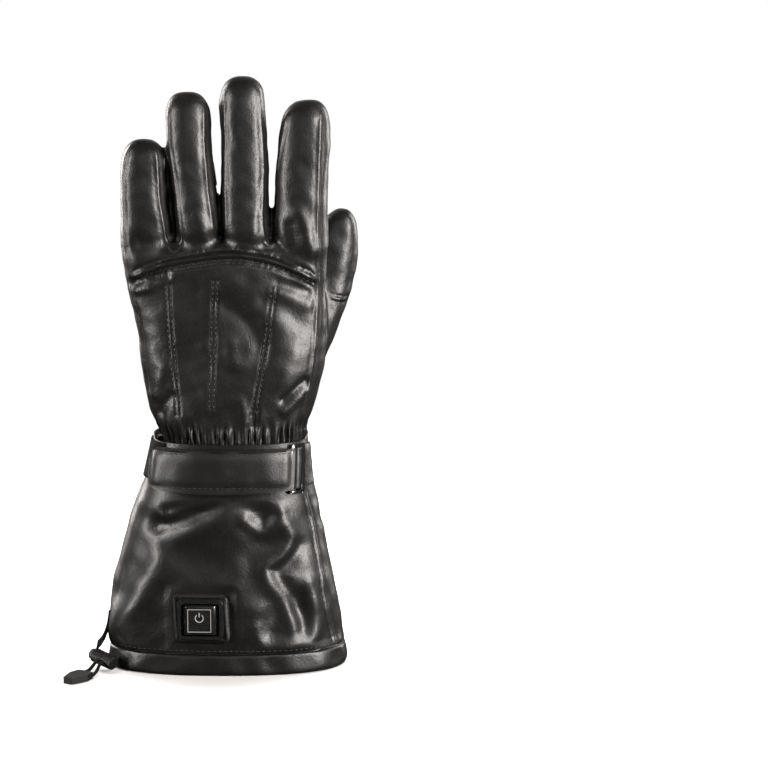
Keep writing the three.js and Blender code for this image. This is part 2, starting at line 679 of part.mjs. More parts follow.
const ringLeft = STRAP_RIGHT - RING_TUCK;
const ringFoot = strapFoot + (STRAP_HEIGHT - RING_HEIGHT) / 2;
const ringRect = (inset, corner) => roundedRect(
  ringLeft + inset, ringFoot + inset, RING_WIDTH - 2 * inset, RING_HEIGHT - 2 * inset, corner);
const ringOutline = (grow) => {
  const shape = ringRect(-grow, RING_CORNER);
  shape.holes.push(ringRect(RING_WIRE + grow, RING_HOLE_CORNER));
  return shape;
};
const ringSkin = (grow) => cuffForm(RING_LIFT + RING_WIRE + grow)
  .subtract(cuffForm(RING_LIFT - grow)).intersect(prism(ringOutline(grow), 'back'));
piece('strap_ring', ringSkin(0), finish.plastic);

const strapOutline = roundedRect(
  STRAP_LEFT, strapFoot, STRAP_RIGHT - STRAP_LEFT, STRAP_HEIGHT, STRAP_CORNER);
const overBacking = cuffForm(2 * CLEARANCE + BACKING_THICKNESS)
  .intersect(prism(backingOutline(CLEARANCE), 'back'));
const strap = onCuff(prism(strapOutline, 'back'), STRAP_THICKNESS + BACKING_THICKNESS)
  .subtract(overBacking).subtract(ringSkin(CLEARANCE));
piece('wrist_strap', strap, finish.leather);

const tabOutline = roundedRect(
  STRAP_RIGHT + TAB_GAP, strapFoot, REACH, STRAP_HEIGHT, TAB_CORNER);
const tab = onCuff(prism(tabOutline, 'back'), STRAP_THICKNESS).subtract(ringSkin(CLEARANCE));
piece('strap_tab', tab, finish.leather);

// A level frame on the cuff's surface: x to the right as seen from outside, y up, z outwards
function cuffFrame(x, z, side) {
  const round = cuffRing(z, 0);
  const sign = side === 'back' ? -1 : 1;
  const half = round.filter((point) => sign * point.y >= 0).sort((a, b) => a.x - b.x);
  const after = half.findIndex((point) => point.x > x);
  const [low, high] = [half[after - 1], half[after]];
  const at = low.clone().lerp(high, (x - low.x) / (high.x - low.x));
  const right = high.clone().sub(low).setZ(0).normalize().multiplyScalar(-sign);
  const up = new THREE.Vector3(0, 0, 1);
  const out = right.clone().cross(up);
  return new THREE.Matrix4().makeBasis(right, up, out).setPosition(at.x, at.y, z);
}

function placed(geometry, frame) {
  return solid(geometry.applyMatrix4(frame));
}

function plate(shape, thickness, foot, bevel = 0, curveSegments = CURVE_STEPS) {
  return new THREE.ExtrudeGeometry(shape, {
    depth: thickness - 2 * bevel,
    bevelEnabled: bevel > 0,
    bevelThickness: bevel,
    bevelSize: bevel,
    bevelOffset: -bevel,
    bevelSegments: 1,
    curveSegments,
  }).translate(0, 0, foot + bevel);
}

// Power button: a leather pad, a bezel seated on the cuff and a key that presses in
const buttonFrame = cuffFrame(BUTTON_X, BUTTON_Z, 'back');
const centredRect = (width, height, radius) => {
  return roundedRect(-width / 2, -height / 2, width, height, radius);
};
const bezelOutline = (grow, corner) => centredRect(
  BUTTON_WIDTH + 2 * grow, BUTTON_HEIGHT + 2 * grow, corner);
const padOutline = bezelOutline(PAD_BORDER, PAD_CORNER);
const bezelHole = placed(
  plate(bezelOutline(CLEARANCE, BUTTON_CORNER + CLEARANCE), REACH, -REACH / 2), buttonFrame);
const padTool = placed(plate(padOutline, REACH / 2, -REACH / 4), buttonFrame).intersect(backHalf);
piece('button_pad', onCuff(padTool, PAD_RISE).subtract(bezelHole), finish.leather);

const keyWidth = BUTTON_WIDTH - 2 * BUTTON_RIM;
const keyHeight = BUTTON_HEIGHT - 2 * BUTTON_RIM;
const bezelBlock = plate(
  bezelOutline(0, BUTTON_CORNER), BEZEL_DEPTH, BUTTON_RISE - BEZEL_DEPTH, EDGE_BEVEL);
const pocket = plate(
  centredRect(keyWidth, keyHeight, KEY_CORNER), BEZEL_DEPTH, BUTTON_RISE - KEY_POCKET);
const bezel = placed(bezelBlock, buttonFrame)
  .subtract(placed(pocket, buttonFrame))
  .subtract(cuffForm(CLEARANCE));
piece('button_bezel', bezel, finish.plastic);

const keyFoot = BUTTON_RISE - KEY_POCKET + KEY_TRAVEL + CLEARANCE;
const key = plate(
  centredRect(keyWidth - 2 * CLEARANCE, keyHeight - 2 * CLEARANCE, KEY_CORNER - CLEARANCE),
  KEY_THICKNESS, keyFoot, EDGE_BEVEL);
piece('power_button', placed(key, buttonFrame), finish.plastic);

// Zip: tape, the closed row of teeth, slider with its arch, and the hinged pull
const zipFoot = ZIP_Z - ZIP_WINDOW / 2;
const tape = roundedRect(ZIP_LEFT, zipFoot, ZIP_RIGHT - ZIP_LEFT, ZIP_WINDOW, ZIP_CORNER);
piece('zip_tape', onCuff(prism(tape, 'palm'), TAPE_THICKNESS), finish.webbing);

const toothEdge = (side) => Array.from({ length: 2 * TEETH_COUNT + 1 }, (_, k) => {
  const out = (k % 2 === 0) === side > 0 ? 0.5 : 0.3;
  return [TEETH_LEFT + (k * TOOTH_PITCH) / 2, ZIP_Z + side * TEETH_WIDTH * out];
});
const teethShape = polygon([...toothEdge(-1), ...toothEdge(1).reverse()]);
const teethFloor = cuffForm(2 * CLEARANCE + TAPE_THICKNESS);
const teeth = cuffForm(2 * CLEARANCE + TAPE_THICKNESS + TEETH_THICKNESS)
  .subtract(teethFloor).intersect(prism(teethShape, 'palm'));

const sliderFrame = cuffFrame(SLIDER_X, ZIP_Z, 'palm');
const sliderTop = SLIDER_FOOT + SLIDER_HEIGHT;
const pivotHeight = sliderTop + PULL_THICKNESS / 2 + PIVOT_PLAY;
const sliderOutline = (grow) => centredRect(
  SLIDER_LENGTH + 2 * grow, SLIDER_WIDTH + 2 * grow, SLIDER_CORNER);
const sliderBlock = plate(
  sliderOutline(0), SLIDER_HEIGHT + SLIDER_ROOT, SLIDER_FOOT - SLIDER_ROOT, EDGE_BEVEL);
const archInner = PIVOT_RADIUS + ARCH_PLAY;
const archOuter = archInner + ARCH_WIRE;
const archHeight = pivotHeight - sliderTop + ARCH_ROOT;
const arch = new THREE.Shape();
arch.moveTo(-archOuter, -archHeight).lineTo(-archInner, -archHeight);
arch.lineTo(-archInner, 0).absarc(0, 0, archInner, Math.PI, 0, true);
arch.lineTo(archInner, -archHeight).lineTo(archOuter, -archHeight);
arch.lineTo(archOuter, 0).absarc(0, 0, archOuter, 0, Math.PI, false);
const archBlock = plate(arch, ARCH_WIDTH, -ARCH_WIDTH / 2, 0, FINE_STEPS)
  .rotateX(Math.PI / 2).translate(0, 0, pivotHeight);
const slider = placed(sliderBlock, sliderFrame).add(placed(archBlock, sliderFrame));
piece('zip_slider', slider.subtract(teethFloor), finish.zip);
const sliderHole = placed(plate(sliderOutline(CLEARANCE), REACH, -REACH / 2), sliderFrame);
piece('zip_teeth', teeth.subtract(sliderHole), finish.zip);

// The pull lies to the thumb side, which is to the left as seen from the palm
const windowEnd = archOuter + WINDOW_PLAY;
const windowHalf = ARCH_WIDTH / 2 + WINDOW_PLAY;
const pullEnd = new THREE.Shape();
const pullHalf = PULL_WIDTH / 2;
pullEnd.moveTo(PIVOT_RADIUS, -pullHalf).lineTo(PIVOT_RADIUS, pullHalf);
pullEnd.lineTo(-PULL_LENGTH + pullHalf, pullHalf);
pullEnd.absarc(-PULL_LENGTH + pullHalf, 0, pullHalf, Math.PI / 2, 1.5 * Math.PI);
pullEnd.holes.push(roundedRect(
  -windowEnd, -windowHalf, windowEnd - PIVOT_RADIUS, 2 * windowHalf, WINDOW_CORNER));
const pullPlate = plate(
  pullEnd, PULL_THICKNESS, pivotHeight - PULL_THICKNESS / 2, 0, FINE_STEPS);
piece('zip_pull', placed(pullPlate, sliderFrame), finish.zip);

// Charging lead's hood on its stitched patch
const connectorZ = ZIP_Z + ZIP_WINDOW / 2 + CONNECTOR_GAP + CONNECTOR_HEIGHT / 2;
const connector = roundedRect(
  CONNECTOR_X - CONNECTOR_WIDTH / 2, connectorZ - CONNECTOR_HEIGHT / 2,
  CONNECTOR_WIDTH, CONNECTOR_HEIGHT, CONNECTOR_CORNER,
);
piece('connector_patch', onCuff(prism(connector, 'palm'), CONNECTOR_THICKNESS), finish.rubber);
const hoodFrame = cuffFrame(CONNECTOR_X + HOOD_RIGHT, connectorZ - HOOD_DOWN, 'palm');
const hoodRadius = HOOD_WIDTH / 2;
const capsule = new THREE.CapsuleGeometry(hoodRadius, HOOD_LENGTH, HOOD_CAPS, HOOD_SIDES)
  .scale(1, 1, HOOD_RISE / hoodRadius)
  .translate(0, -hoodRadius, CONNECTOR_THICKNESS);
const hoodLimit = placed(
  new THREE.BoxGeometry(2 * HOOD_WIDTH, HOOD_LENGTH, REACH), hoodFrame);
const hood = placed(capsule, hoodFrame).intersect(hoodLimit)
  .subtract(cuffForm(2 * CLEARANCE + CONNECTOR_THICKNESS));
piece('connector_hood', hood, finish.rubber);

// Elastic drawcord at the little-finger side: from the hem, through the lock, round the tag
// and back. Its points are chosen by hand.
const CORD_POINTS = [
  [-65.6, -19.6, 6], [-67.6, -20.6, 6.1], [-70.2, -21.4, 6.3], [-72.9, -24.6, 6.3],
  [-75.8, -29, 5.5], [-77.4, -33.8, 2.6], [-78.9, -38.6, 1.7], [-80.7, -42.3, 2],
  [-83.2, -44.6, 2], [-86.4, -43.9, 2], [-88.3, -41.2, 2], [-87.6, -37.6, 2],
  [-85.2, -34.1, 1.7], [-81.9, -31.1, 2.6], [-78.4, -27.2, 6.1], [-75.4, -23, 6.9],
  [-72.4, -19.5, 6.9], [-69.6, -18, 6.5], [-67.2, -17.2, 6],
];
const cordCurve = new THREE.CatmullRomCurve3(
  CORD_POINTS.map((point) => new THREE.Vector3(...point)));

function cordTube(radius) {
  const section = new THREE.Shape(Array.from({ length: CORD_SIDES }, (_, k) => {
    const angle = (2 * Math.PI * k) / CORD_SIDES;
    return new THREE.Vector2(radius * Math.cos(angle), radius * Math.sin(angle));
  }));
  return solid(new THREE.ExtrudeGeometry(section, { steps: CORD_STEPS, extrudePath: cordCurve }));
}

const cordTunnel = cordTube(CORD_DIAMETER / 2 + CLEARANCE);
piece('drawcord', cordTube(CORD_DIAMETER / 2).subtract(hemBand(CLEARANCE)), finish.webbing);

const lockCentre = new THREE.Vector3(...LOCK_CENTRE);
const lockAxis = new THREE.Vector3(...LOCK_DIRECTION).normalize();
const lockTurn = new THREE.Quaternion()
  .setFromUnitVectors(new THREE.Vector3(0, 1, 0), lockAxis.clone().negate());
const lockFrame = new THREE.Matrix4().compose(lockCentre, lockTurn, new THREE.Vector3(1, 1, 1));
const turned = (points) => new THREE.LatheGeometry(
  points.map(([r, y]) => new THREE.Vector2(r, y)), ROUND_SIDES);
const lockEnd = LOCK_LENGTH / 2;
const pocketFloor = lockEnd - (PLUNGER_LENGTH - PLUNGER_RISE) - PLUNGER_TRAVEL - CLEARANCE;
const barrel = turned([
  [0, -lockEnd], [LOCK_RADIUS - LOCK_CHAMFER, -lockEnd], [LOCK_RADIUS, LOCK_CHAMFER - lockEnd],
  [LOCK_RADIUS, lockEnd - LOCK_CHAMFER / 2], [LOCK_RADIUS - LOCK_CHAMFER / 2, lockEnd],
  [PLUNGER_RADIUS + CLEARANCE, lockEnd], [PLUNGER_RADIUS + CLEARANCE, pocketFloor],
  [0, pocketFloor],
]);
piece('cord_lock', placed(barrel, lockFrame).subtract(cordTunnel), finish.plastic);
const plungerFoot = lockEnd - (PLUNGER_LENGTH - PLUNGER_RISE);
const plungerTop = lockEnd + PLUNGER_RISE;
const plunger = turned([
  [0, plungerFoot], [PLUNGER_RADIUS, plungerFoot], [PLUNGER_RADIUS, plungerTop - LOCK_CHAMFER],
  [PLUNGER_RADIUS - LOCK_CHAMFER, plungerTop], [0, plungerTop],
]);
piece('lock_plunger', placed(plunger, lockFrame), finish.rubber);

// The tag's channel for the cord opens at its narrow top edge
const tagAlong = new THREE.Vector3(...TAG_DIRECTION).normalize();
const tagUp = new THREE.Vector3(0, 0, 1);
const tagFrame = new THREE.Matrix4()
  .makeBasis(tagAlong.clone().cross(tagUp), tagAlong, tagUp)
  .setPosition(...TAG_CENTRE, TAG_THICKNESS / 2 + TAG_LIFT);
const half = TAG_WIDTH / 2;
const tagOutline = polygon([
  [-0.82 * half, 0], [0.82 * half, 0], [half, 0.4 * TAG_LENGTH], [0.5 * half, TAG_LENGTH],
  [-0.5 * half, TAG_LENGTH], [-half, 0.4 * TAG_LENGTH],
]);
const tag = plate(tagOutline, TAG_THICKNESS, -TAG_THICKNESS / 2);
piece('cord_tag', placed(tag, tagFrame).subtract(cordTunnel), finish.rubber);

const STRIP_POINTS = [[-71.9, -6, 31], [-73, -9, 23], [-75.6, -14.5, 16.2], [-78.1, -19, 14.1]];
const stripCurve = new THREE.CatmullRomCurve3(
  STRIP_POINTS.map((point) => new THREE.Vector3(...point)));
const stripShape = polygon([[-1, -1], [1, -1], [1, 1], [-1, 1]].map(([x, y]) => {
  return [(x * STRIP_THICKNESS) / 2, (y * STRIP_WIDTH) / 2];
}));
const strip = new THREE.ExtrudeGeometry(stripShape, { steps: FINE_STEPS, extrudePath: stripCurve });
piece('cord_strip', solid(strip).subtract(cuffForm(CLEARANCE)), finish.webbing);

export default glove;
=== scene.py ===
import math

import bpy
import numpy as np
from mathutils import Matrix, Vector
from mathutils.bvhtree import BVHTree
from mathutils.kdtree import KDTree


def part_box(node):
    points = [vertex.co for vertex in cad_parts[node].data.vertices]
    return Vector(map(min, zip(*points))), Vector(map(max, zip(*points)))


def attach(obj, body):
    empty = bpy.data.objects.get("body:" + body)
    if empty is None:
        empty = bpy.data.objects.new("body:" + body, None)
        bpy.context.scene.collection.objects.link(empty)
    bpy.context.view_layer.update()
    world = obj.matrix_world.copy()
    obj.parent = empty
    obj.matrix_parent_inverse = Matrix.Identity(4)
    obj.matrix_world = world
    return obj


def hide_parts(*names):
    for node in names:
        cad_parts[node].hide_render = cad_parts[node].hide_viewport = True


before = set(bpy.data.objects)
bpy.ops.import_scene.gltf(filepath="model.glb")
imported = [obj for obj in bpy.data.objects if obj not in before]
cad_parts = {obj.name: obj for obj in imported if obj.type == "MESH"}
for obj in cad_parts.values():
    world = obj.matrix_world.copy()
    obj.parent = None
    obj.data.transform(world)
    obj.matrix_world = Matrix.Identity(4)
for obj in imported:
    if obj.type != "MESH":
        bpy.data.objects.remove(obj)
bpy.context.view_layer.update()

# The tables below are in millimetres, and this turns them into Blender's metres.
# X runs to the thumb, Z up the fingers, the back of the hand faces -Y and the palm +Y.
mm = 0.001

# Camera, lights and floor

cameraSettings = {
    "distance": 1.6,
    "elevation": 10.0,
    "aimX": 87.0,
    "aimZ": 163.4,
    "frameWidth": 441.0,   # what the picture's width shows at the glove
    "sensor": 36.0,
}


def placeCamera(settings):
    angle = math.radians(settings["elevation"])
    aim = Vector((settings["aimX"] * mm, 0, settings["aimZ"] * mm))
    data = bpy.data.cameras.new("photoCamera")
    data.sensor_width = settings["sensor"]
    data.lens = settings["sensor"] * settings["distance"] / (settings["frameWidth"] * mm)
    camera = bpy.data.objects.new("photoCamera", data)
    camera.location = aim + settings["distance"] * Vector((0, -math.cos(angle), math.sin(angle)))
    camera.rotation_euler = (math.pi / 2 - angle, 0, 0)
    bpy.context.scene.collection.objects.link(camera)
    bpy.context.scene.camera = camera


placeCamera(cameraSettings)
print("camera placed")

# Softboxes by their direction from the glove, as degrees round from the front and up
softboxes = [
    {"name": "keyRight", "azimuth": 56, "elevation": 16, "size": (0.4, 1.0), "watts": 38, "gloss": True},
    {"name": "fillLeft", "azimuth": -66, "elevation": 14, "size": (0.2, 0.9), "watts": 17, "gloss": True},
    {"name": "topLight", "azimuth": 180, "elevation": 58, "size": (1.3, 1.2), "watts": 60, "gloss": False},
    {"name": "frontSheet", "azimuth": 10, "elevation": 30, "size": (0.9, 0.6), "watts": 1.4, "gloss": True},
    {"name": "backSheet", "azimuth": 184, "elevation": 30, "size": (0.9, 0.6), "watts": 1.0, "gloss": True},
    {"name": "backRight", "azimuth": 128, "elevation": 16, "size": (0.4, 0.9), "watts": 13, "gloss": True},
    {"name": "backLeft", "azimuth": -132, "elevation": 16, "size": (0.4, 0.9), "watts": 17, "gloss": True},
]
lightSettings = {
    "warmth": (1.0, 0.955, 0.925),   # tint of what the leather mirrors
    "distance": 1.25,
    "aimZ": 0.16,
}


def addSoftbox(box):
    turn = math.radians(box["azimuth"])
    rise = math.radians(box["elevation"])
    aim = Vector((0, 0, lightSettings["aimZ"]))
    away = Vector((math.sin(turn) * math.cos(rise), -math.cos(turn) * math.cos(rise), math.sin(rise)))
    data = bpy.data.lights.new(box["name"], "AREA")
    data.shape = "RECTANGLE"
    data.size, data.size_y = box["size"]
    data.energy = box["watts"]
    light = bpy.data.objects.new(box["name"], data)
    light.location = aim + away * lightSettings["distance"]
    light.rotation_euler = away.to_track_quat("Z", "Y").to_euler()
    light.visible_camera = False
    light.visible_glossy = box["gloss"]
    if box["gloss"]:
        light.data.color = lightSettings["warmth"]
    bpy.context.scene.collection.objects.link(light)


for box in softboxes:
    addSoftbox(box)


# Small language for shader nodes

# A socket that takes part in Python expressions.
class Link:
    def __init__(self, tree, socket):
        self.tree = tree
        self.socket = socket

    def maths(self, operation, *values):
        return self.tree.add("ShaderNodeMath", {"operation": operation}, values)

    def __add__(self, other):
        return self.maths("ADD", self, other)

    def __radd__(self, other):
        return self.maths("ADD", other, self)

    def __sub__(self, other):
        return self.maths("SUBTRACT", self, other)

    def __rsub__(self, other):
        return self.maths("SUBTRACT", other, self)

    def __mul__(self, other):
        return self.maths("MULTIPLY", self, other)

    def __rmul__(self, other):
        return self.maths("MULTIPLY", other, self)

    def __truediv__(self, other):
        return self.maths("DIVIDE", self, other)

    def __rtruediv__(self, other):
        return self.maths("DIVIDE", other, self)

    def __pow__(self, other):
        return self.maths("POWER", self, other)

    def clamp(self):
        node = self.maths("ADD", self, 0.0)
        node.socket.node.use_clamp = True
        return node


# A node tree whose nodes all come from add.
class Tree:
    def __init__(self, tree):
        self.tree = tree
        self.tree.nodes.clear()

    def add(self, kind, settings=None, values=(), output=0):
        node = self.tree.nodes.new(kind)
        for key, value in (settings or {}).items():
            if key == "stops":
                for stop, (place, colour) in zip(node.color_ramp.elements, value):
                    stop.position = place
                    stop.color = (*colour, 1)
            else:
                setattr(node, key, value)
        pairs = values.items() if isinstance(values, dict) else enumerate(values)
        for key, value in pairs:
            if isinstance(value, Link):
                self.tree.links.new(value.socket, node.inputs[key])
            else:
                node.inputs[key].default_value = value
        return Link(self, node.outputs[output]) if len(node.outputs) else None


def newMaterial(name):
    material = bpy.data.materials.new(name)
    material.use_nodes = True
    return material, Tree(material.node_tree)


def grey(value, warm=0.0):
    return (value * (1 + warm), value, value * (1 - warm))


def finishShader(tree, values, normal=None):
    shader = tree.add("ShaderNodeBsdfPrincipled", values=values)
    if normal is not None:
        tree.tree.links.new(normal.socket, shader.socket.node.inputs["Normal"])
    tree.add("ShaderNodeOutputMaterial", values={"Surface": shader})


def bump(tree, height, strength, distance, under=None):
    values = {"Strength": strength, "Distance": distance, "Height": height}
    if under is not None:
        values["Normal"] = under
    return tree.add("ShaderNodeBump", values=values)


def mixColours(tree, factor, first, second):
    node = tree.add("ShaderNodeMix", {"data_type": "RGBA"}, output=2)
    inputs = node.socket.node.inputs
    for place, value in ((0, factor), (6, first), (7, second)):
        if isinstance(value, Link):
            tree.tree.links.new(value.socket, inputs[place])
        else:
            inputs[place].default_value = value if place == 0 else (*value, 1)
    return node


stageSettings = {
    "floorRadius": 1.6,
    "fadeFrom": 0.22,
    "fadeTo": 0.8,
    "backdrop": 1.0,
    "dim": 0.004,          # what the room gives to reflections
}


def makeStage(settings):
    world = bpy.data.worlds.new("studio")
    bpy.context.scene.world = world
    world.use_nodes = True
    tree = Tree(world.node_tree)
    eye = tree.add("ShaderNodeLightPath")
    level = eye * (settings["backdrop"] - settings["dim"]) + settings["dim"]
    sky = tree.add("ShaderNodeBackground", values={"Color": (1, 1, 1, 1), "Strength": level})
    tree.add("ShaderNodeOutputWorld", values={"Surface": sky})

    bpy.ops.mesh.primitive_circle_add(
        vertices=128, radius=settings["floorRadius"], fill_type="NGON", location=(0, 0, 0))
    floor = bpy.context.active_object
    floor.name = "studioFloor"
    material, tree = newMaterial("studioPaper")
    place = tree.add("ShaderNodeTexCoord", output=3)
    far = tree.add("ShaderNodeVectorMath", {"operation": "LENGTH"}, (place,), output=1)
    span = settings["fadeTo"] - settings["fadeFrom"]
    fade = ((far - settings["fadeFrom"]) / span).clamp()
    paper = tree.add("ShaderNodeBsdfDiffuse", values={"Color": (0.66, 0.66, 0.66, 1)})
    clear = tree.add("ShaderNodeBsdfTransparent")
    blend = tree.add("ShaderNodeMixShader", values=(fade, paper, clear))
    tree.add("ShaderNodeOutputMaterial", values={"Surface": blend})
    floor.data.materials.append(material)
    floor.visible_glossy = False


makeStage(stageSettings)
bpy.context.scene.view_settings.view_transform = "Standard"
print("stage and lights placed")


# Materials

leatherLook = {
    "colour": 0.0036,
    "grain": 0.00085,      # size of a pebble of the grain
    "roughness": 0.36,
    "coat": 0.03,
}


def leather(name, colour, roughness, grainDepth=1.0, creases=1.0):
    material, tree = newMaterial(name)
    place = tree.add("ShaderNodeTexCoord", output=3)
    pebbles = tree.add(
        "ShaderNodeTexVoronoi", {"feature": "SMOOTH_F1"},
        {"Vector": place, "Scale": 1 / leatherLook["grain"], "Smoothness": 0.7})
    fine = tree.add(
        "ShaderNodeTexNoise", values={"Vector": place, "Scale": 2600, "Detail": 2})
    broad = tree.add(
        "ShaderNodeTexNoise", values={"Vector": place, "Scale": 55, "Detail": 3})
    warped = tree.add(
        "ShaderNodeTexNoise", {"normalize": True},
        {"Vector": place, "Scale": 210, "Detail": 4, "Distortion": 1.2})
    cracks = tree.add(
        "ShaderNodeTexVoronoi", {"feature": "DISTANCE_TO_EDGE"},
        {"Vector": place, "Scale": 420})
    # The seam ridges, kept in the attribute relief, get a painted highlight: their colour is made lighter,
    # and their roughness a little lower.
    ridgeHighlight = tree.add("ShaderNodeAttribute", {"attribute_name": "relief"}, output=2)
    height = pebbles * 0.8 + fine * 0.25 + cracks * 0.35
    small = bump(tree, height, 0.25 * grainDepth, 0.00024)
    large = bump(tree, warped, 0.16 * creases, 0.0011, small)
    tone = (broad * 0.7 + 0.65) * (ridgeHighlight * 0.5 + 1.0)
    base = mixColours(tree, (tone - 0.6).clamp(), grey(colour * 0.7, 0.03), grey(colour * 1.9, 0.06))
    shine = roughness + (broad - 0.5) * 0.12 + pebbles * 0.1 - ridgeHighlight * 0.06
    finishShader(tree, {
        "Base Color": base, "Roughness": shine.clamp(), "Coat Weight": leatherLook["coat"],
        "Coat Roughness": 0.2, "Specular IOR Level": 0.5,
    }, large)
    return material


def cloth(name, colour, scale, depth, roughness=0.9):
    material, tree = newMaterial(name)
    place = tree.add("ShaderNodeTexCoord", output=3)
    fuzz = tree.add("ShaderNodeTexNoise", values={"Vector": place, "Scale": scale, "Detail": 5})
    spots = tree.add("ShaderNodeTexNoise", values={"Vector": place, "Scale": scale / 12, "Detail": 3})
    mottle = (fuzz * 0.7 + spots * 0.5 - 0.2).clamp()
    base = mixColours(tree, mottle, grey(colour * 0.45), grey(colour * 1.9))
    finishShader(tree, {
        "Base Color": base, "Roughness": roughness, "IOR": 1.2,
        "Sheen Weight": 0.02, "Sheen Roughness": 0.4,
    }, bump(tree, fuzz, 0.7, depth))
    return material


def hardSurface(name, colour, roughness, metallic=0.0, scratch=0.05, coat=0.0):
    material, tree = newMaterial(name)
    place = tree.add("ShaderNodeTexCoord", output=3)
    haze = tree.add("ShaderNodeTexNoise", values={"Vector": place, "Scale": 320, "Detail": 4})
    dust = tree.add("ShaderNodeTexNoise", values={"Vector": place, "Scale": 2400, "Detail": 2})
    base = mixColours(tree, haze, grey(colour * 0.75), grey(colour * 1.3))
    finishShader(tree, {
        "Base Color": base, "Roughness": (roughness + (haze - 0.5) * 0.14).clamp(),
        "Metallic": metallic, "Coat Weight": coat, "Coat Roughness": 0.08,
    }, bump(tree, dust, scratch, 0.00006))
    return material


leatherFinish = leather("pebbledLeather", leatherLook["colour"], leatherLook["roughness"])
strapFinish = leather("strapLeather", leatherLook["colour"], 0.38, 1.3, 0.5)
suedeFinish = cloth("blackSuede", 0.0026, 2600, 0.00035)
webbingFinish = cloth("blackWebbing", 0.004, 1900, 0.0003)
threadFinish = hardSurface("waxedThread", 0.012, 0.42, scratch=0.3)
plasticFinish = hardSurface("glossyPlastic", 0.008, 0.16, coat=0.6)
rubberFinish = hardSurface("mouldedRubber", 0.008, 0.38, scratch=0.25)
zipFinish = hardSurface("gunmetal", 0.13, 0.2, metallic=0.85)
inkFinish = hardSurface("paleInk", 0.22, 0.5)
print("materials made")


# Small helpers for modelling

def clearSelection():
    if bpy.context.mode != "OBJECT":
        bpy.ops.object.mode_set(mode="OBJECT")
    bpy.ops.object.select_all(action="DESELECT")


def makeActive(obj):
    clearSelection()
    obj.select_set(True)
    bpy.context.view_layer.objects.active = obj


def applyModifier(obj, kind, **settings):
    makeActive(obj)
    modifier = obj.modifiers.new(kind.lower(), kind)
    for key, value in settings.items():
        setattr(modifier, key, value)
    bpy.ops.object.modifier_apply(modifier=modifier.name)


def coordinates(obj):
    co = np.empty(len(obj.data.vertices) * 3)
    obj.data.vertices.foreach_get("co", co)
    return co.reshape(-1, 3)


def normals(obj):
    no = np.empty(len(obj.data.vertices) * 3)
    obj.data.vertex_normals.foreach_get("vector", no)
    return no.reshape(-1, 3)


def setCoordinates(obj, co):
    obj.data.vertices.foreach_set("co", np.ascontiguousarray(co).ravel())
    obj.data.update()


def meshObject(name, points, faces):
    mesh = bpy.data.meshes.new(name)
    mesh.from_pydata([tuple(p) for p in points], [], faces)
    mesh.validate()
    obj = bpy.data.objects.new(name, mesh)
    bpy.context.scene.collection.objects.link(obj)
    return obj


def smoothShade(obj, angle=None):
    makeActive(obj)
    if angle is None:
        bpy.ops.object.shade_smooth()
    else:
        bpy.ops.object.shade_smooth_by_angle(angle=math.radians(angle))


def finishPiece(obj, body, slot, material, *nodes):
    obj.data.materials.clear()
    obj.data.materials.append(material)
    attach(obj, body)
    if nodes:
        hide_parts(*nodes)
    return obj


# Points evenly spaced along a smooth curve through the given ones.
def catmull(points, count):
    pts = np.array(points, float)
    ends = [2 * pts[0] - pts[1], 2 * pts[-1] - pts[-2]]
    padded = np.vstack([ends[0], pts, ends[1]])
    fine = []
    for k in range(len(pts) - 1):
        a, b, c, d = padded[k:k + 4]
        for t in np.linspace(0, 1, 24, endpoint=False):
            fine.append(0.5 * (2 * b + (c - a) * t + (2 * a - 5 * b + 4 * c - d) * t ** 2
                               + (3 * b - a - 3 * c + d) * t ** 3))
    fine.append(pts[-1])
    fine = np.array(fine)
    steps = np.r_[0, np.cumsum(np.linalg.norm(np.diff(fine, axis=0), axis=1))]
    wanted = np.linspace(0, steps[-1], count)
    return np.stack([np.interp(wanted, steps, fine[:, k]) for k in range(fine.shape[1])], axis=1)


def lineLength(points):
    return float(np.sum(np.linalg.norm(np.diff(np.array(points, float), axis=0), axis=1)))


# Smooth random relief between about -1 and 1, whose bumps are about size apart.
def waves(co, size, seed, count=14):
    source = np.random.default_rng(seed)
    total = np.zeros(len(co))
    for _ in range(count):
        way = source.normal(size=3)
        way /= np.linalg.norm(way)
        rate = 2 * math.pi / (size * source.uniform(0.7, 1.6))
        total += np.cos(co @ way * rate + source.uniform(0, 2 * math.pi))
    return total / math.sqrt(count)


squareness = 2.4


def bow(value):
    return np.sign(value) * np.abs(value) ** (2 / squareness)


# A closed tube through level sections: rows of z, centre x, centre y, half width, half depth.
def loftedTube(name, rows, sides):
    turn = np.linspace(0, 2 * math.pi, sides, endpoint=False)
    points = []
    for z, x, y, halfX, halfY in rows:
        ring = np.stack([x + halfX * bow(np.cos(turn)), y + halfY * bow(np.sin(turn)),
                         np.full(sides, z)], axis=1)
        points.append(ring * mm)
    faces = []
    for level in range(len(rows) - 1):
        for k in range(sides):
            after = (k + 1) % sides
            faces.append((level * sides + k, level * sides + after,
                          (level + 1) * sides + after, (level + 1) * sides + k))
    top = (len(rows) - 1) * sides
    faces.append(tuple(range(sides))[::-1])
    faces.append(tuple(range(top, top + sides)))
    return meshObject(name, np.vstack(points), faces)


# The hand

handSettings = {
    "thumbTip": 262.5,
    "voxel": 1.35,
    "smoothing": 9,
    "handSides": 56,
    "fingerSides": 32,
    "tipRound": 14.0,
    "curl": 8.0,
    "crotchZ": 246.4,
    "longest": 94.0,
    "setback": 1.5,
}

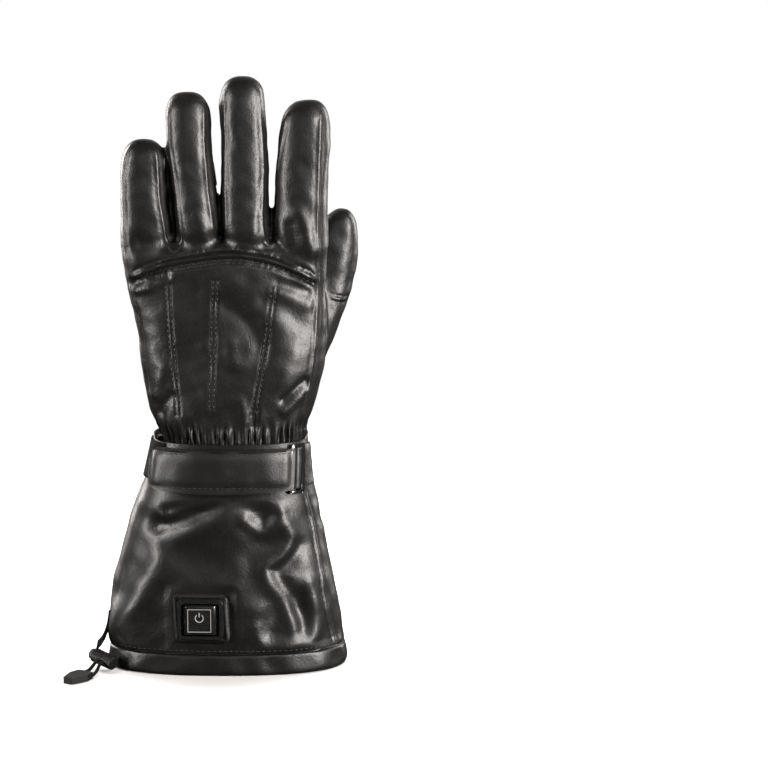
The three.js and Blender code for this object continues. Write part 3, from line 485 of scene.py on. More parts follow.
# z, left, right, back, palm
handRows = [
    (112, -40.5, 38.5, -23.5, 23.5),
    (126, -39.6, 39.4, -23.6, 23.6),
    (133, -39.6, 41.0, -24.0, 24.0),
    (138, -41.2, 41.8, -24.4, 24.4),
    (143, -44.0, 43.3, -24.6, 24.6),
    (151, -47.6, 46.6, -24.6, 24.4),
    (161, -49.8, 49.8, -24.2, 23.8),
    (174, -51.9, 52.8, -23.4, 22.8),
    (188, -53.4, 53.9, -22.3, 21.6),
    (202, -55.5, 54.3, -20.9, 20.2),
    (216, -58.0, 54.2, -19.2, 18.6),
    (230, -60.3, 54.6, -17.4, 16.8),
    (240, -61.6, 55.0, -15.6, 14.6),
    (247, -60.0, 53.0, -11.5, 9.5),
]

# name, tip z, then rows of z, centre x, half width, half depth
fingerTables = {
    "little": (304.5, [
        (226, -47.0, 11.5, 12.5), (244, -47.3, 15.0, 12.6), (267, -48.7, 14.2, 11.9),
        (290, -49.4, 13.4, 11.0), (304.5, -48.6, 12.4, 10.3)]),
    "ring": (330.2, [
        (226, -18.4, 11.0, 13.2), (246, -18.4, 12.4, 13.6), (268, -20.0, 12.6, 13.2),
        (301, -23.2, 13.0, 12.3), (330.2, -24.6, 12.4, 11.2)]),
    "middle": (339.2, [
        (228, 8.8, 12.0, 13.6), (246, 8.8, 13.8, 14.0), (269, 8.4, 13.4, 13.4),
        (314, 7.6, 13.2, 12.4), (339.2, 7.4, 12.6, 11.4)]),
    "index": (326.6, [
        (224, 38.8, 12.6, 13.0), (244, 39.8, 15.2, 13.6), (271, 40.2, 15.2, 13.2),
        (300, 41.6, 14.8, 12.2), (326.6, 43.0, 13.2, 11.2)]),
}

# z, centre x, centre y, half width, half depth
thumbRows = [
    (160, 27.5, 7.5, 13.5, 13.0),
    (172, 33.0, 12.2, 17.0, 16.2),
    (186, 40.0, 17.0, 17.2, 16.8),
    (204, 47.2, 21.2, 16.9, 15.9),
    (221, 53.0, 23.6, 15.8, 14.8),
    (236, 57.0, 24.5, 14.2, 13.6),
    (248, 60.0, 24.6, 12.0, 12.2),
    (262, 63.0, 24.4, 9.0, 10.4),
]


def curlAt(z):
    above = max(0.0, z - handSettings["crotchZ"]) / handSettings["longest"]
    return handSettings["curl"] * above ** 2 - handSettings["setback"]


# Even rows along a finger, rounded over its tip.
def roundedRows(rows, tipZ):
    even = catmull(rows, 26)
    straight = tipZ - handSettings["tipRound"]
    levels = [z for z in even[:, 0] if z < straight]
    levels += [straight + (tipZ - straight) * t for t in (0, 0.2, 0.4, 0.58, 0.72, 0.84, 0.93, 0.985)]
    result = []
    for z in levels:
        step = max(0.0, (z - straight) / (tipZ - straight))
        bulge = (1 - step ** squareness) ** (1 / squareness)
        row = [np.interp(min(z, even[-1, 0]), even[:, 0], even[:, k]) for k in range(1, 5)]
        result.append((z, row[0], row[1], row[2] * bulge, row[3] * bulge))
    return result


def handSolids():
    palm = [(z, (left + right) / 2, (back + front) / 2, (right - left) / 2, (front - back) / 2)
            for z, left, right, back, front in catmull(handRows, 44)]
    tubes = [loftedTube("handTube", palm, handSettings["handSides"])]
    sides = handSettings["fingerSides"]
    for name, (tip, rows) in fingerTables.items():
        full = [(z, x, curlAt(z), halfX, halfY) for z, x, halfX, halfY in rows]
        tubes.append(loftedTube(name + "Tube", roundedRows(full, tip), sides))
    tubes.append(loftedTube("thumbTube", roundedRows(thumbRows, handSettings["thumbTip"]), sides))
    return tubes


def fusedHand(name, voxel, smoothing):
    tubes = handSolids()
    clearSelection()
    for tube in tubes:
        tube.select_set(True)
    bpy.context.view_layer.objects.active = tubes[0]
    bpy.ops.object.join()
    hand = bpy.context.active_object
    hand.name = name
    applyModifier(hand, "REMESH", mode="VOXEL", voxel_size=voxel * mm)
    applyModifier(hand, "SMOOTH", factor=0.5, iterations=smoothing)
    return hand


# Places points of a flat pattern on a mesh, from the back or from the palm.
class Surface:
    def __init__(self, obj):
        co = coordinates(obj)
        faces = [tuple(p.vertices) for p in obj.data.polygons]
        self.tree = BVHTree.FromPolygons([tuple(p) for p in co], faces)

    def at(self, x, z, side):
        sign = -1 if side == "back" else 1
        start = Vector((x * mm, sign * 0.2, z * mm))
        hit, normal, _, _ = self.tree.ray_cast(start, Vector((0, -sign, 0)))
        return hit, normal

    def line(self, points, side, spacing=0.6):
        count = max(3, int(lineLength(points) / spacing))
        placed = []
        for x, z in catmull(points, count):
            hit, normal = self.at(x, z, side)
            if hit is not None:
                placed.append((hit, normal))
        return placed


# Seams of the hand, as points of x and z. The welt stands highest.
handSeams = [
    {"side": "back", "kind": "soft", "points": [
        (-56.5, 301), (-60.0, 291), (-60.6, 270), (-59.6, 246), (-57.2, 230), (-55.0, 214),
        (-52.6, 198), (-50.2, 178), (-48.0, 160), (-44.0, 147), (-40.5, 137)]},
    {"side": "back", "kind": "soft", "points": [
        (-41.8, 299), (-40.6, 288), (-39.6, 272), (-37.4, 257.5), (-34.8, 246.5), (-31.8, 242.6),
        (-28.8, 246), (-28.4, 253), (-29.6, 267), (-32.0, 286), (-34.6, 304), (-35.0, 320)]},
    {"side": "back", "kind": "soft", "points": [
        (-14.4, 325), (-14.0, 300), (-12.3, 275), (-10.2, 256), (-8.4, 250.6), (-5.4, 248.6),
        (-2.6, 251.5), (-1.8, 258), (-2.6, 285), (-3.0, 310), (-2.4, 330)]},
    {"side": "back", "kind": "soft", "points": [
        (17.4, 332), (18.6, 310), (19.2, 289), (18.4, 262), (19.4, 248.6), (22.2, 245.4),
        (24.8, 248), (25.4, 256), (26.8, 288), (30.0, 308), (32.6, 320)]},
    {"side": "back", "kind": "soft", "points": [
        (52.0, 319), (51.0, 308), (50.4, 285), (49.6, 262), (49.8, 240), (49.6, 222),
        (48.6, 200), (47.0, 181), (44.0, 163), (41.8, 150), (40.0, 138)]},
    {"side": "back", "kind": "cap", "points": [(56.0, 212.8), (62.0, 211.0), (69.5, 210.6)]},
    {"side": "back", "kind": "welt", "points": [
        (-56.2, 226.5), (-43.0, 232.4), (-26.2, 236.8), (0.0, 240.0), (21.1, 237.2),
        (36.0, 231.5), (49.2, 225.0)]},
    {"side": "palm", "kind": "piped", "points": [
        (-54.0, 298.6), (-56.4, 293), (-56.6, 281), (-54.6, 267), (-53.0, 253), (-50.6, 234),
        (-48.2, 206), (-46.0, 180), (-44.4, 162), (-40.6, 149), (-37.8, 138)]},
    {"side": "palm", "kind": "piped", "points": [
        (-38.4, 299), (-37.0, 290), (-36.0, 272), (-33.0, 258), (-29.4, 248.6), (-26.6, 246.6),
        (-24.6, 250), (-26.0, 262), (-28.6, 281), (-30.6, 300), (-29.6, 315)]},
    {"side": "palm", "kind": "piped", "points": [
        (-13.6, 317.6), (-11.0, 300), (-9.4, 285), (-7.0, 271), (-4.6, 258.6), (-2.0, 255.2),
        (1.0, 258.6), (1.8, 268), (1.4, 285), (0.4, 305), (1.0, 319.6)]},
    {"side": "palm", "kind": "piped", "points": [
        (17.6, 320.4), (19.4, 309), (19.6, 285), (20.0, 266), (22.4, 252), (24.4, 246.4),
        (26.0, 252), (27.6, 270), (30.0, 290), (31.6, 309.6)]},
    {"side": "palm", "kind": "piped", "points": [
        (52.0, 309.6), (52.4, 299), (51.0, 276), (51.2, 250), (51.8, 240)]},
    {"side": "palm", "kind": "cap", "points": [(-54.0, 298.6), (-46.2, 300.6), (-38.4, 299)]},
    {"side": "palm", "kind": "cap", "points": [(-29.6, 315), (-21.6, 318.4), (-13.6, 317.6)]},
    {"side": "palm", "kind": "cap", "points": [(1.0, 319.6), (9.4, 322.8), (17.6, 320.4)]},
    {"side": "palm", "kind": "cap", "points": [(31.6, 309.6), (42.0, 313.2), (52.0, 309.6)]},
    {"side": "palm", "kind": "cap", "points": [(-46.2, 300.6), (-46.4, 303.4)]},
    {"side": "palm", "kind": "cap", "points": [(-21.6, 318.4), (-21.8, 322.4)]},
    {"side": "palm", "kind": "cap", "points": [(9.4, 322.8), (9.2, 328.6)]},
    {"side": "palm", "kind": "cap", "points": [(42.0, 313.2), (41.8, 318.6)]},
    {"side": "palm", "kind": "flat", "points": [
        (-48.6, 224.0), (-34.8, 234.4), (-8.5, 239.6), (10.8, 240.8), (24.0, 239.6)]},
    {"side": "palm", "kind": "flat", "points": [
        (64.6, 259.0), (62.4, 248), (56.6, 224), (49.6, 200), (39.6, 178), (25.0, 156)]},
    {"side": "palm", "kind": "flat", "points": [(25.0, 156.0), (36.0, 153.0), (45.0, 154.6)]},
]

seamShapes = {
    "soft": {"rise": 0.4, "width": 1.0, "valley": 0.1, "pucker": 0.3},
    "piped": {"rise": 0.75, "width": 0.8, "valley": 0.3, "pucker": 0.25},
    "welt": {"rise": 1.0, "width": 1.3, "valley": 0.8, "pucker": 0.2},
    "cap": {"rise": 0.8, "width": 0.8, "valley": 0.7, "pucker": 0.2},
    "flat": {"rise": 0.5, "width": 0.9, "valley": 0.3, "pucker": 0.25},
}
seamFade = 7.0   # a seam dies away over this stretch at its ends

# Folds and dents of the hand: points of x and z, height above or depth below, and half width
handFolds = [
    {"side": "back", "points": [(-54, 224), (-46, 226.4), (-36, 228.4)], "rise": -1.6, "spread": 2.4},
    {"side": "back", "points": [(-52, 219), (-46, 220.4)], "rise": 0.9, "spread": 2.2},
    {"side": "back", "points": [(-50, 246), (-20, 246), (4, 246.4), (30, 242), (46, 236)],
     "rise": -1.8, "spread": 5.0},
    {"side": "back", "points": [(27.5, 224), (36, 221.4), (44, 218.4)], "rise": -1.0, "spread": 3.2},
    {"side": "back", "points": [(26, 219.0), (35, 215), (43, 210.6)], "rise": 0.8, "spread": 3.6},
    {"side": "back", "points": [(20, 214), (31, 208.6), (40, 201.6)], "rise": -0.9, "spread": 4.6},
    {"side": "back", "points": [(-2, 212), (8, 204), (16, 192), (17, 184)], "rise": -1.9, "spread": 6.0},
    {"side": "back", "points": [(1, 190), (1, 180)], "rise": 1.2, "spread": 5.0},
    {"side": "back", "points": [(26, 205), (32, 190), (30, 170)], "rise": 1.4, "spread": 9.0},
    {"side": "back", "points": [(-20, 214), (-24, 190), (-20, 165)], "rise": -1.0, "spread": 9.0},
    {"side": "back", "points": [(30, 158), (36, 163), (42, 168)], "rise": -1.2, "spread": 2.4},
    {"side": "back", "points": [(30, 151), (37, 157), (42, 162)], "rise": 1.0, "spread": 2.8},
    {"side": "back", "points": [(-38, 175), (-44, 160)], "rise": 1.0, "spread": 4.0},
    {"side": "back", "points": [(-34, 160), (-40, 150)], "rise": -1.1, "spread": 3.0},
    {"side": "back", "points": [(6, 158), (9, 146)], "rise": 0.9, "spread": 3.0},
    {"side": "back", "points": [(14, 152), (13, 143)], "rise": -0.9, "spread": 2.4},
    {"side": "back", "points": [(40, 264), (44, 250), (45, 238), (36, 233)], "rise": 1.2, "spread": 4.0},
    {"side": "back", "points": [(34, 256), (36, 246)], "rise": -1.0, "spread": 3.4},
    {"side": "back", "points": [(14, 262), (12, 250)], "rise": 0.9, "spread": 3.4},
    {"side": "back", "points": [(-18, 262), (-14, 250)], "rise": 0.8, "spread": 3.4},
    {"side": "palm", "points": [(-52, 283), (-38, 283)], "rise": -0.8, "spread": 2.6},
    {"side": "palm", "points": [(-50, 262), (-36, 264)], "rise": -0.7, "spread": 3.0},
    {"side": "palm", "points": [(-27, 292), (-12, 293)], "rise": -0.9, "spread": 2.8},
    {"side": "palm", "points": [(-25, 271), (-10, 273)], "rise": -0.9, "spread": 3.0},
    {"side": "palm", "points": [(3, 297), (17, 298)], "rise": -0.9, "spread": 2.8},
    {"side": "palm", "points": [(3, 275), (18, 276)], "rise": -0.9, "spread": 3.0},
    {"side": "palm", "points": [(18, 262), (23, 248), (24, 236)], "rise": -2.0, "spread": 4.0},
    {"side": "palm", "points": [(12, 260), (18, 246)], "rise": 1.0, "spread": 3.0},
    {"side": "palm", "points": [(-46, 242), (-20, 244), (8, 246)], "rise": -1.4, "spread": 4.0},
    {"side": "palm", "points": [(34, 234), (32, 214), (30, 196)], "rise": -2.4, "spread": 6.0},
    {"side": "palm", "points": [(22, 190), (28, 174), (26, 162)], "rise": 1.5, "spread": 7.0},
    {"side": "palm", "points": [(36, 196), (33, 180)], "rise": -1.2, "spread": 3.0},
    {"side": "palm", "points": [(-30, 212), (-10, 205)], "rise": -0.8, "spread": 8.0},
]


# Heights of the folds, each on the side that its vertices face.
def addFolds(co, no, folds, facing=0.15):
    total = np.zeros(len(co))
    for fold in folds:
        sign = -1 if fold["side"] == "back" else 1
        path = catmull(fold["points"], max(4, int(lineLength(fold["points"]) / 1.5))) * mm
        spread = fold["spread"] * mm
        low = path.min(0) - 3 * spread
        high = path.max(0) + 3 * spread
        near = (co[:, 0] > low[0]) & (co[:, 0] < high[0]) & (co[:, 2] > low[1]) & (co[:, 2] < high[1])
        near &= sign * no[:, 1] > 0
        spots = np.flatnonzero(near)
        if not len(spots):
            continue
        gap = np.linalg.norm(co[spots][:, None, ::2] - path[None], axis=2)
        away = gap.min(1) / spread
        fade = np.clip(sign * no[spots, 1] / (facing + 0.35), 0, 1)
        total[spots] += fold["rise"] * mm * np.exp(-away ** 2) * fade
    return total


def seamTree(lines):
    spots = [(place, row, step) for row, line in enumerate(lines)
             for step, (place, _) in enumerate(line)]
    tree = KDTree(len(spots))
    for k, (place, _, _) in enumerate(spots):
        tree.insert(place, k)
    tree.balance()
    return tree, spots


# Ridge on each seam, valleys beside it and puckers across them.
def seamRelief(co, no, lines, kinds, shapes, spacing=0.6):
    tree, spots = seamTree(lines)
    height = np.zeros(len(co))
    ridge = np.zeros(len(co))
    reach = 5.5 * mm
    normalsOf = [normal for line in lines for _, normal in line]
    for k, place in enumerate(co):
        _, index, gap = tree.find(place)
        if gap > reach or normalsOf[index].dot(no[k]) < 0.1:
            continue
        shape = shapes[kinds[spots[index][1]]]
        away = gap / mm / shape["width"]
        along = spots[index][2] * spacing
        rest = len(lines[spots[index][1]]) * spacing - along
        fade = min(1.0, (min(along, rest) + 1) / seamFade)
        ruck = 1 + shape["pucker"] * math.sin(along * 1.25 + 2.2 * math.sin(along * 0.31))
        top = math.exp(-away * away)
        low = math.exp(-((away - 2.3) / 1.1) ** 2)
        height[k] = fade * (shape["rise"] * top * (0.85 + 0.15 * ruck) - shape["valley"] * low * ruck) * mm
        ridge[k] = top
    return height, ridge


# Stitched lines of the hand. Each row stands aside from its points by the offsets.
handStitching = [
    {"side": "back", "points": [
        (-54.0, 224.6), (-43.0, 229.8), (-26.2, 234.2), (0.0, 237.4), (21.1, 234.6),
        (36.0, 228.9), (47.6, 223.2)], "offsets": (0.0, -2.0)},
    {"side": "back", "points": [(-35.3, 223.0), (-33.4, 190.0), (-29.6, 149.3)],
     "offsets": (-1.3, 1.3)},
    {"side": "back", "points": [(-8.0, 226.0), (-9.6, 190.0), (-10.8, 152.8)],
     "offsets": (-1.3, 1.3)},
    {"side": "back", "points": [(25.1, 221.0), (20.0, 188.0), (13.1, 149.3)],
     "offsets": (-1.3, 1.3)},
    {"side": "palm", "points": [
        (-46.6, 222.6), (-34.8, 231.6), (-8.5, 237.0), (10.8, 238.2), (24.0, 237.0)],
     "offsets": (0.0, 4.6)},
    {"side": "palm", "points": [(-37.6, 201.2), (-16.5, 210.9), (4.6, 215.5), (21.1, 217.2)],
     "offsets": (0.0,)},
    {"side": "palm", "points": [
        (21.1, 216.6), (14.8, 205.8), (12.0, 190.4), (14.8, 174.4), (23.9, 160.2)],
     "offsets": (-1.1, 1.1)},
    {"side": "palm", "points": [
        (63.0, 255.0), (60.4, 245), (54.8, 222), (47.8, 199), (37.8, 177.6), (25.6, 159)],
     "offsets": (-0.6, 3.6)},
    {"side": "palm", "points": [(26.0, 157.6), (36.0, 155.0), (44.0, 156.2)], "offsets": (0.0, -3.4)},
    {"side": "palm", "points": [(49.4, 273), (49.2, 256), (49.6, 241)], "offsets": (-1.2, 1.2)},
]

stitchSettings = {"length": 2.3, "pitch": 3.1, "radius": 0.27, "sink": 0.02}


def offsetLine(points, offset):
    fine = catmull(points, max(6, int(lineLength(points) / 2)))
    along = np.gradient(fine, axis=0)
    along /= np.linalg.norm(along, axis=1)[:, None]
    return fine + np.stack([-along[:, 1], along[:, 0]], axis=1) * offset


# One thread's short hump, along X with its foot down.
def stitchTemplate():
    bpy.ops.mesh.primitive_cylinder_add(
        vertices=6, radius=1, depth=1, end_fill_type="TRIFAN", location=(0, 0, 0))
    stitch = bpy.context.active_object
    bpy.ops.object.mode_set(mode="EDIT")
    bpy.ops.mesh.select_all(action="SELECT")
    for cut in (-0.3, 0.0, 0.3):
        bpy.ops.mesh.select_all(action="SELECT")
        bpy.ops.mesh.bisect(plane_co=(0, 0, cut), plane_no=(0, 0, 1))
    bpy.ops.object.mode_set(mode="OBJECT")
    co = coordinates(stitch)
    faces = [tuple(p.vertices) for p in stitch.data.polygons]
    bpy.data.objects.remove(stitch)
    along = co[:, 2]
    thick = np.where(np.abs(along) > 0.45, 0.35, np.where(np.abs(along) > 0.2, 0.9, 1.0))
    sag = np.where(np.abs(along) > 0.45, -0.9, np.where(np.abs(along) > 0.2, -0.1, 0.1))
    return np.stack([along, co[:, 0] * thick, co[:, 1] * thick + sag], axis=1), faces


threadShape, threadFaces = stitchTemplate()


# Copies of the thread at even steps along points that each carry a normal.
def stitchesAlong(places, settings=stitchSettings):
    spots = np.array([p for p, _ in places])
    ups = np.array([n for _, n in places])
    if len(spots) < 3:
        return []
    steps = np.r_[0, np.cumsum(np.linalg.norm(np.diff(spots, axis=0), axis=1))]
    count = max(1, int(steps[-1] / (settings["pitch"] * mm)))
    copies = []
    for k in range(count):
        centre = (k + 0.5) * steps[-1] / count
        half = settings["length"] * mm / 2
        ends = [np.array([np.interp(centre + way * half, steps, spots[:, i]) for i in range(3)])
                for way in (-1, 0, 1)]
        up = np.array([np.interp(centre, steps, ups[:, i]) for i in range(3)])
        along = ends[2] - ends[0]
        along /= np.linalg.norm(along)
        up -= along * up.dot(along)
        up /= np.linalg.norm(up)
        side = np.cross(up, along)
        radius = settings["radius"] * mm
        local = threadShape * np.array([settings["length"] * mm, radius, radius])
        lift = radius * 0.35 - settings["sink"] * mm
        copies.append(ends[1] + local[:, :1] * along + local[:, 1:2] * side
                      + (local[:, 2:] + lift) * up)
    return copies


def joinedStitches(name, copies, body="glove"):
    points = np.vstack(copies)
    size = len(threadShape)
    faces = [tuple(k * size + v for v in face) for k in range(len(copies)) for face in threadFaces]
    obj = meshObject(name, points, faces)
    smoothShade(obj)
    return finishPiece(obj, body, "elastic", threadFinish)


# Width to depth of the wrist and the cuff
sectionRatio = 1.7


# Length round the glove at a place, for a section of this mean radius.
def lengthRound(x, y, radius):
    return np.arctan2(y * sectionRatio, x) * radius


gatherSettings = {
    "radius": 47, "z": 136.5, "spread": 5.0, "rise": 1.25, "pitch": 0.8,
    "longZ": 143.0, "longSpread": 8.0, "longRise": 0.8, "longPitch": 1.9,
}


# How far the elastic at the wrist gathers the leather, as a height for each place.
def gathers(x, y, z):
    s = gatherSettings
    around = lengthRound(x, y, s["radius"])
    near = np.exp(-((z - s["z"]) / s["spread"]) ** 2)
    far = np.exp(-((z - s["longZ"]) / s["longSpread"]) ** 2) * (0.35 + 0.65 * (y > 0))
    pleats = np.cos(around / s["pitch"] + 1.3 * np.sin(around / 5)) * (0.75 + 0.35 * np.sin(around / 3.3))
    tails = np.cos(around / s["longPitch"] + np.sin(around / 9) + z / 14)
    return near * s["rise"] * pleats + far * s["longRise"] * tails


unevenSettings = {
    "swell": 0.5, "swellSize": 0.034, "ripple": 0.16, "rippleSize": 0.011, "wrist": 120, "fade": 20,
}

# The leather sinks in along each row of stitches.
grooveSettings = {"reach": 2.4, "depth": 0.42, "spread": 0.85}


def makeHand():
    outer = fusedHand("gloveHand", handSettings["voxel"], handSettings["smoothing"])
    applyModifier(outer, "SUBSURF", levels=1, render_levels=1)
    base = Surface(outer)
    co = coordinates(outer)
    no = normals(outer)
    lines = [base.line(seam["points"], seam["side"]) for seam in handSeams]
    kinds = [seam["kind"] for seam in handSeams]
    height, ridge = seamRelief(co, no, lines, kinds, seamShapes)
    height += addFolds(co, no, handFolds)
    x, y, z = co.T / mm
    height += gathers(x, y, z) * mm
    # soft unevenness of padded leather
    s = unevenSettings
    uneven = s["swell"] * waves(co, s["swellSize"], 3) + s["ripple"] * waves(co, s["rippleSize"], 4)
    height += uneven * mm * np.clip((z - s["wrist"]) / s["fade"], 0, 1)
    stitched = []
    copies = []
    for row in handStitching:
        for offset in row["offsets"]:
            stitched.append(base.line(offsetLine(row["points"], offset), row["side"]))
    tree, _ = seamTree(stitched)
    groove = grooveSettings
    for k, place in enumerate(co):
        _, _, gap = tree.find(place)
        if gap < groove["reach"] * mm:
            height[k] -= groove["depth"] * mm * math.exp(-(gap / (groove["spread"] * mm)) ** 2)
    setCoordinates(outer, co + no * height[:, None])
    # the seam ridges, which the leather's colour lightens as a painted highlight
    relief = outer.data.attributes.new("relief", "FLOAT", "POINT")
    relief.data.foreach_set("value", ridge.astype(np.float32))
    dressed = Surface(outer)
    for row in handStitching:
        for offset in row["offsets"]:
            copies += stitchesAlong(dressed.line(offsetLine(row["points"], offset), row["side"], 0.8))
    joinedStitches("handStitches", copies)
    return outer, dressed


handPiece, handSurface = makeHand()
smoothShade(handPiece)
finishPiece(
    handPiece, "glove", "leather", leatherFinish,
    "back_panel", "palm_panel", "little_side_panel", "fourchette_little_ring",
    "fourchette_ring_middle", "fourchette_middle_index", "thumb_side_panel",
    "thumb_inner_panel", "thumb_outer_panel", "knuckle_welt")
print("hand sewn:", len(handPiece.data.polygons), "faces")


# The cuff

cuffSettings = {
    "height": 133.0,
    "hem": 12.0,
    "wall": 2.6,
    "around": 400,
    "up": 150,
    "radius": 55,
    "swell": 0.8,
    "swellSize": 0.045,
    "ripple": 0.2,
    "rippleSize": 0.014,
    "drawnIn": 0.9,
    "drawnSpread": 2.2,
    "pucker": 0.35,
    "puckerRise": 3,
    "puckerSpread": 4,
}

# z, centre x, half width, half depth
cuffRows = [
    (12.0, -4.2, 68.6, 36.0),
    (30.2, -5.8, 67.0, 35.6),
    (48.3, -6.5, 64.4, 34.9),
    (60.4, -6.2, 61.6, 34.1),
    (72.5, -5.6, 58.3, 33.0),
    (87.0, -4.6, 54.1, 31.7),
    (96.7, -3.5, 51.9, 31.0),
    (111.2, -2.4, 48.2, 29.8),
    (133.0, -1.3, 44.3, 28.5),
]

cuffFolds = [
    {"side": "back", "points": [(-42, 85.5), (-28, 91), (-9, 100)], "rise": -3.1, "spread": 6.1},
    {"side": "back", "points": [(-38, 91.5), (-26, 96), (-16, 101)], "rise": 1.4, "spread": 3.8},
    {"side": "back", "points": [(-36, 96.5), (-22, 102)], "rise": -1.7, "spread": 4.1},
    {"side": "back", "points": [(-40, 78), (-20, 84), (-4, 92)], "rise": 1.2, "spread": 7.2},
    {"side": "back", "points": [(16.5, 97), (17, 92)], "rise": -3.6, "spread": 9.4},
    {"side": "back", "points": [(25, 102), (27.4, 92), (19, 83), (8, 90)], "rise": 2.0, "spread": 4.3},
    {"side": "back", "points": [(31, 86), (34, 77), (28, 69), (19, 62.5), (24, 52), (31, 42), (36, 27)],
     "rise": 2.1, "spread": 4.9},
    {"side": "back", "points": [(38, 74), (33, 65), (27, 58), (32, 48), (37, 38)],
     "rise": -1.9, "spread": 5.5},
    {"side": "back", "points": [(20, 78), (12, 70), (10, 58)], "rise": -1.4, "spread": 7.2},
    {"side": "back", "points": [(14, 28), (18, 19), (32, 17.4), (46, 20), (47, 36), (44, 52)],
     "rise": 1.6, "spread": 4.6},
    {"side": "back", "points": [(26, 42), (24, 27)], "rise": -1.7, "spread": 7.2},
    {"side": "back", "points": [(40, 44), (41, 28)], "rise": -1.9, "spread": 5.8},
    {"side": "back", "points": [(8, 62), (4, 48), (6, 34)], "rise": 1.3, "spread": 11.6},
    {"side": "back", "points": [(-70, 22), (-56, 42), (-42, 64)], "rise": 1.9, "spread": 8.7},
    {"side": "back", "points": [(-66, 46), (-54, 66), (-50, 84)], "rise": -2.0, "spread": 10.2},
    {"side": "back", "points": [(-48, 30), (-40, 48)], "rise": -1.5, "spread": 10.2},
    {"side": "back", "points": [(-36, 74), (-22, 68), (-8, 66)], "rise": -1.4, "spread": 8.7},
    {"side": "back", "points": [(-2, 98), (2, 84)], "rise": 1.2, "spread": 8.7},
    {"side": "palm", "points": [(-26, 126), (-44, 108), (-56, 84)], "rise": -2.4, "spread": 10.2},
    {"side": "palm", "points": [(2, 128), (-8, 104), (-20, 80), (-30, 62)], "rise": 1.9, "spread": 10.2},
    {"side": "palm", "points": [(-8, 122), (-26, 96), (-38, 74)], "rise": -1.2, "spread": 8.7},
    {"side": "palm", "points": [(-62, 62), (-58, 86), (-50, 104)], "rise": 1.4, "spread": 7.2},
    {"side": "palm", "points": [(-4, 60), (-6, 44), (-2, 30)], "rise": -1.5, "spread": 8.7},
    {"side": "palm", "points": [(20, 126), (22, 108), (18, 90)], "rise": -1.7, "spread": 7.2},
    {"side": "palm", "points": [(34, 129), (36, 118)], "rise": 1.5, "spread": 6.5},
    {"side": "palm", "points": [(27, 96), (34, 84), (50, 72)], "rise": 1.4, "spread": 8.7},
    {"side": "palm", "points": [(18, 66), (20, 48)], "rise": 1.4, "spread": 10.2},
    {"side": "palm", "points": [(-60, 24), (-44, 30), (-30, 34)], "rise": 1.3, "spread": 8.7},
    {"side": "palm", "points": [(56, 50), (58, 28)], "rise": -1.4, "spread": 8.7},
]

cuffSeams = [
    {"side": "back", "kind": "flat", "points": [
        (42.2, 103), (46.0, 86), (50.4, 60), (53.4, 40), (58.6, 20), (59.6, 13)]},
    {"side": "palm", "kind": "flat", "points": [
        (11.4, 133), (9.6, 110), (8.2, 90), (6.8, 65), (6.2, 44.6)]},
    {"side": "palm", "kind": "flat", "points": [(3.4, 28.0), (2.8, 13.0)]},
]

cuffStitching = [
    {"side": "palm", "points": [(12.4, 132), (10.6, 110), (9.2, 90), (7.8, 65), (7.2, 45)],
     "offsets": (-1.2, -4.2)},
    {"side": "palm", "points": [(4.4, 28.0), (3.8, 14.0)], "offsets": (-1.2, -4.2)},
    {"side": "palm", "points": [(-65.0, 14.6), (60.0, 14.6)], "offsets": (0.0,)},
    {"side": "back", "points": [(-65.0, 14.6), (60.0, 14.6)], "offsets": (0.0,)},
]


# Where something is sewn on, the cuff lies smooth: side, left, right, foot, top
quietPlaces = [
    ("palm", -44, 54, 28, 44), ("palm", 25, 49, 44, 82), ("back", -60, 60, 101, 134),
    ("back", -33, -2, 20, 48), ("palm", -60, 60, 132, 134),
]


def calm(co, no, reach=6.0):
    x, _, z = co.T / mm
    share = np.ones(len(co))
    for side, left, right, foot, top in quietPlaces:
        away = np.hypot(np.maximum(np.maximum(left - x, x - right), 0),
                        np.maximum(np.maximum(foot - z, z - top), 0)) / reach
        facing = no[:, 1] < 0 if side == "back" else no[:, 1] >= 0
        share = np.where(facing, np.minimum(share, np.clip(away, 0, 1)), share)
    return share


def cuffSection(z):
    table = np.array(cuffRows)
    fine = catmull(table, 60)
    return [np.interp(z, fine[:, 0], fine[:, k]) for k in range(1, 4)]


# Rings of points round the cuff at the levels, pushed out by grow.
def cuffGrid(levels, grow, sides):
    turn = np.linspace(0, 2 * math.pi, sides, endpoint=False)
    cx, halfX, halfY = cuffSection(np.array(levels))
    grow = np.broadcast_to(np.asarray(grow, float), cx.shape)
    x = cx[:, None] + (halfX + grow)[:, None] * bow(np.cos(turn))[None]
    y = (halfY + grow)[:, None] * bow(np.sin(turn))[None]
    z = np.repeat(np.array(levels, float)[:, None], sides, axis=1)
    return np.stack([x, y, z], axis=2) * mm


def gridFaces(rows, sides, flip=False, start=0):
    faces = []
    for level in range(rows - 1):
        for k in range(sides):
            after = (k + 1) % sides
            face = (start + level * sides + k, start + level * sides + after,
                    start + (level + 1) * sides + after, start + (level + 1) * sides + k)
            faces.append(face[::-1] if flip else face)
    return faces


# A tube with thickness from an outer and an inner grid of rings of the same count.
def closedSleeve(name, outer, inner):
    rows, sides = outer.shape[:2]
    points = np.vstack([outer.reshape(-1, 3), inner.reshape(-1, 3)])
    second = rows * sides
    faces = gridFaces(rows, sides) + gridFaces(rows, sides, True, second)
    for k in range(sides):
        after = (k + 1) % sides
        faces.append((after, k, second + k, second + after))
        top = (rows - 1) * sides
        faces.append((top + k, top + after, second + top + after, second + top + k))
    return meshObject(name, points, faces)


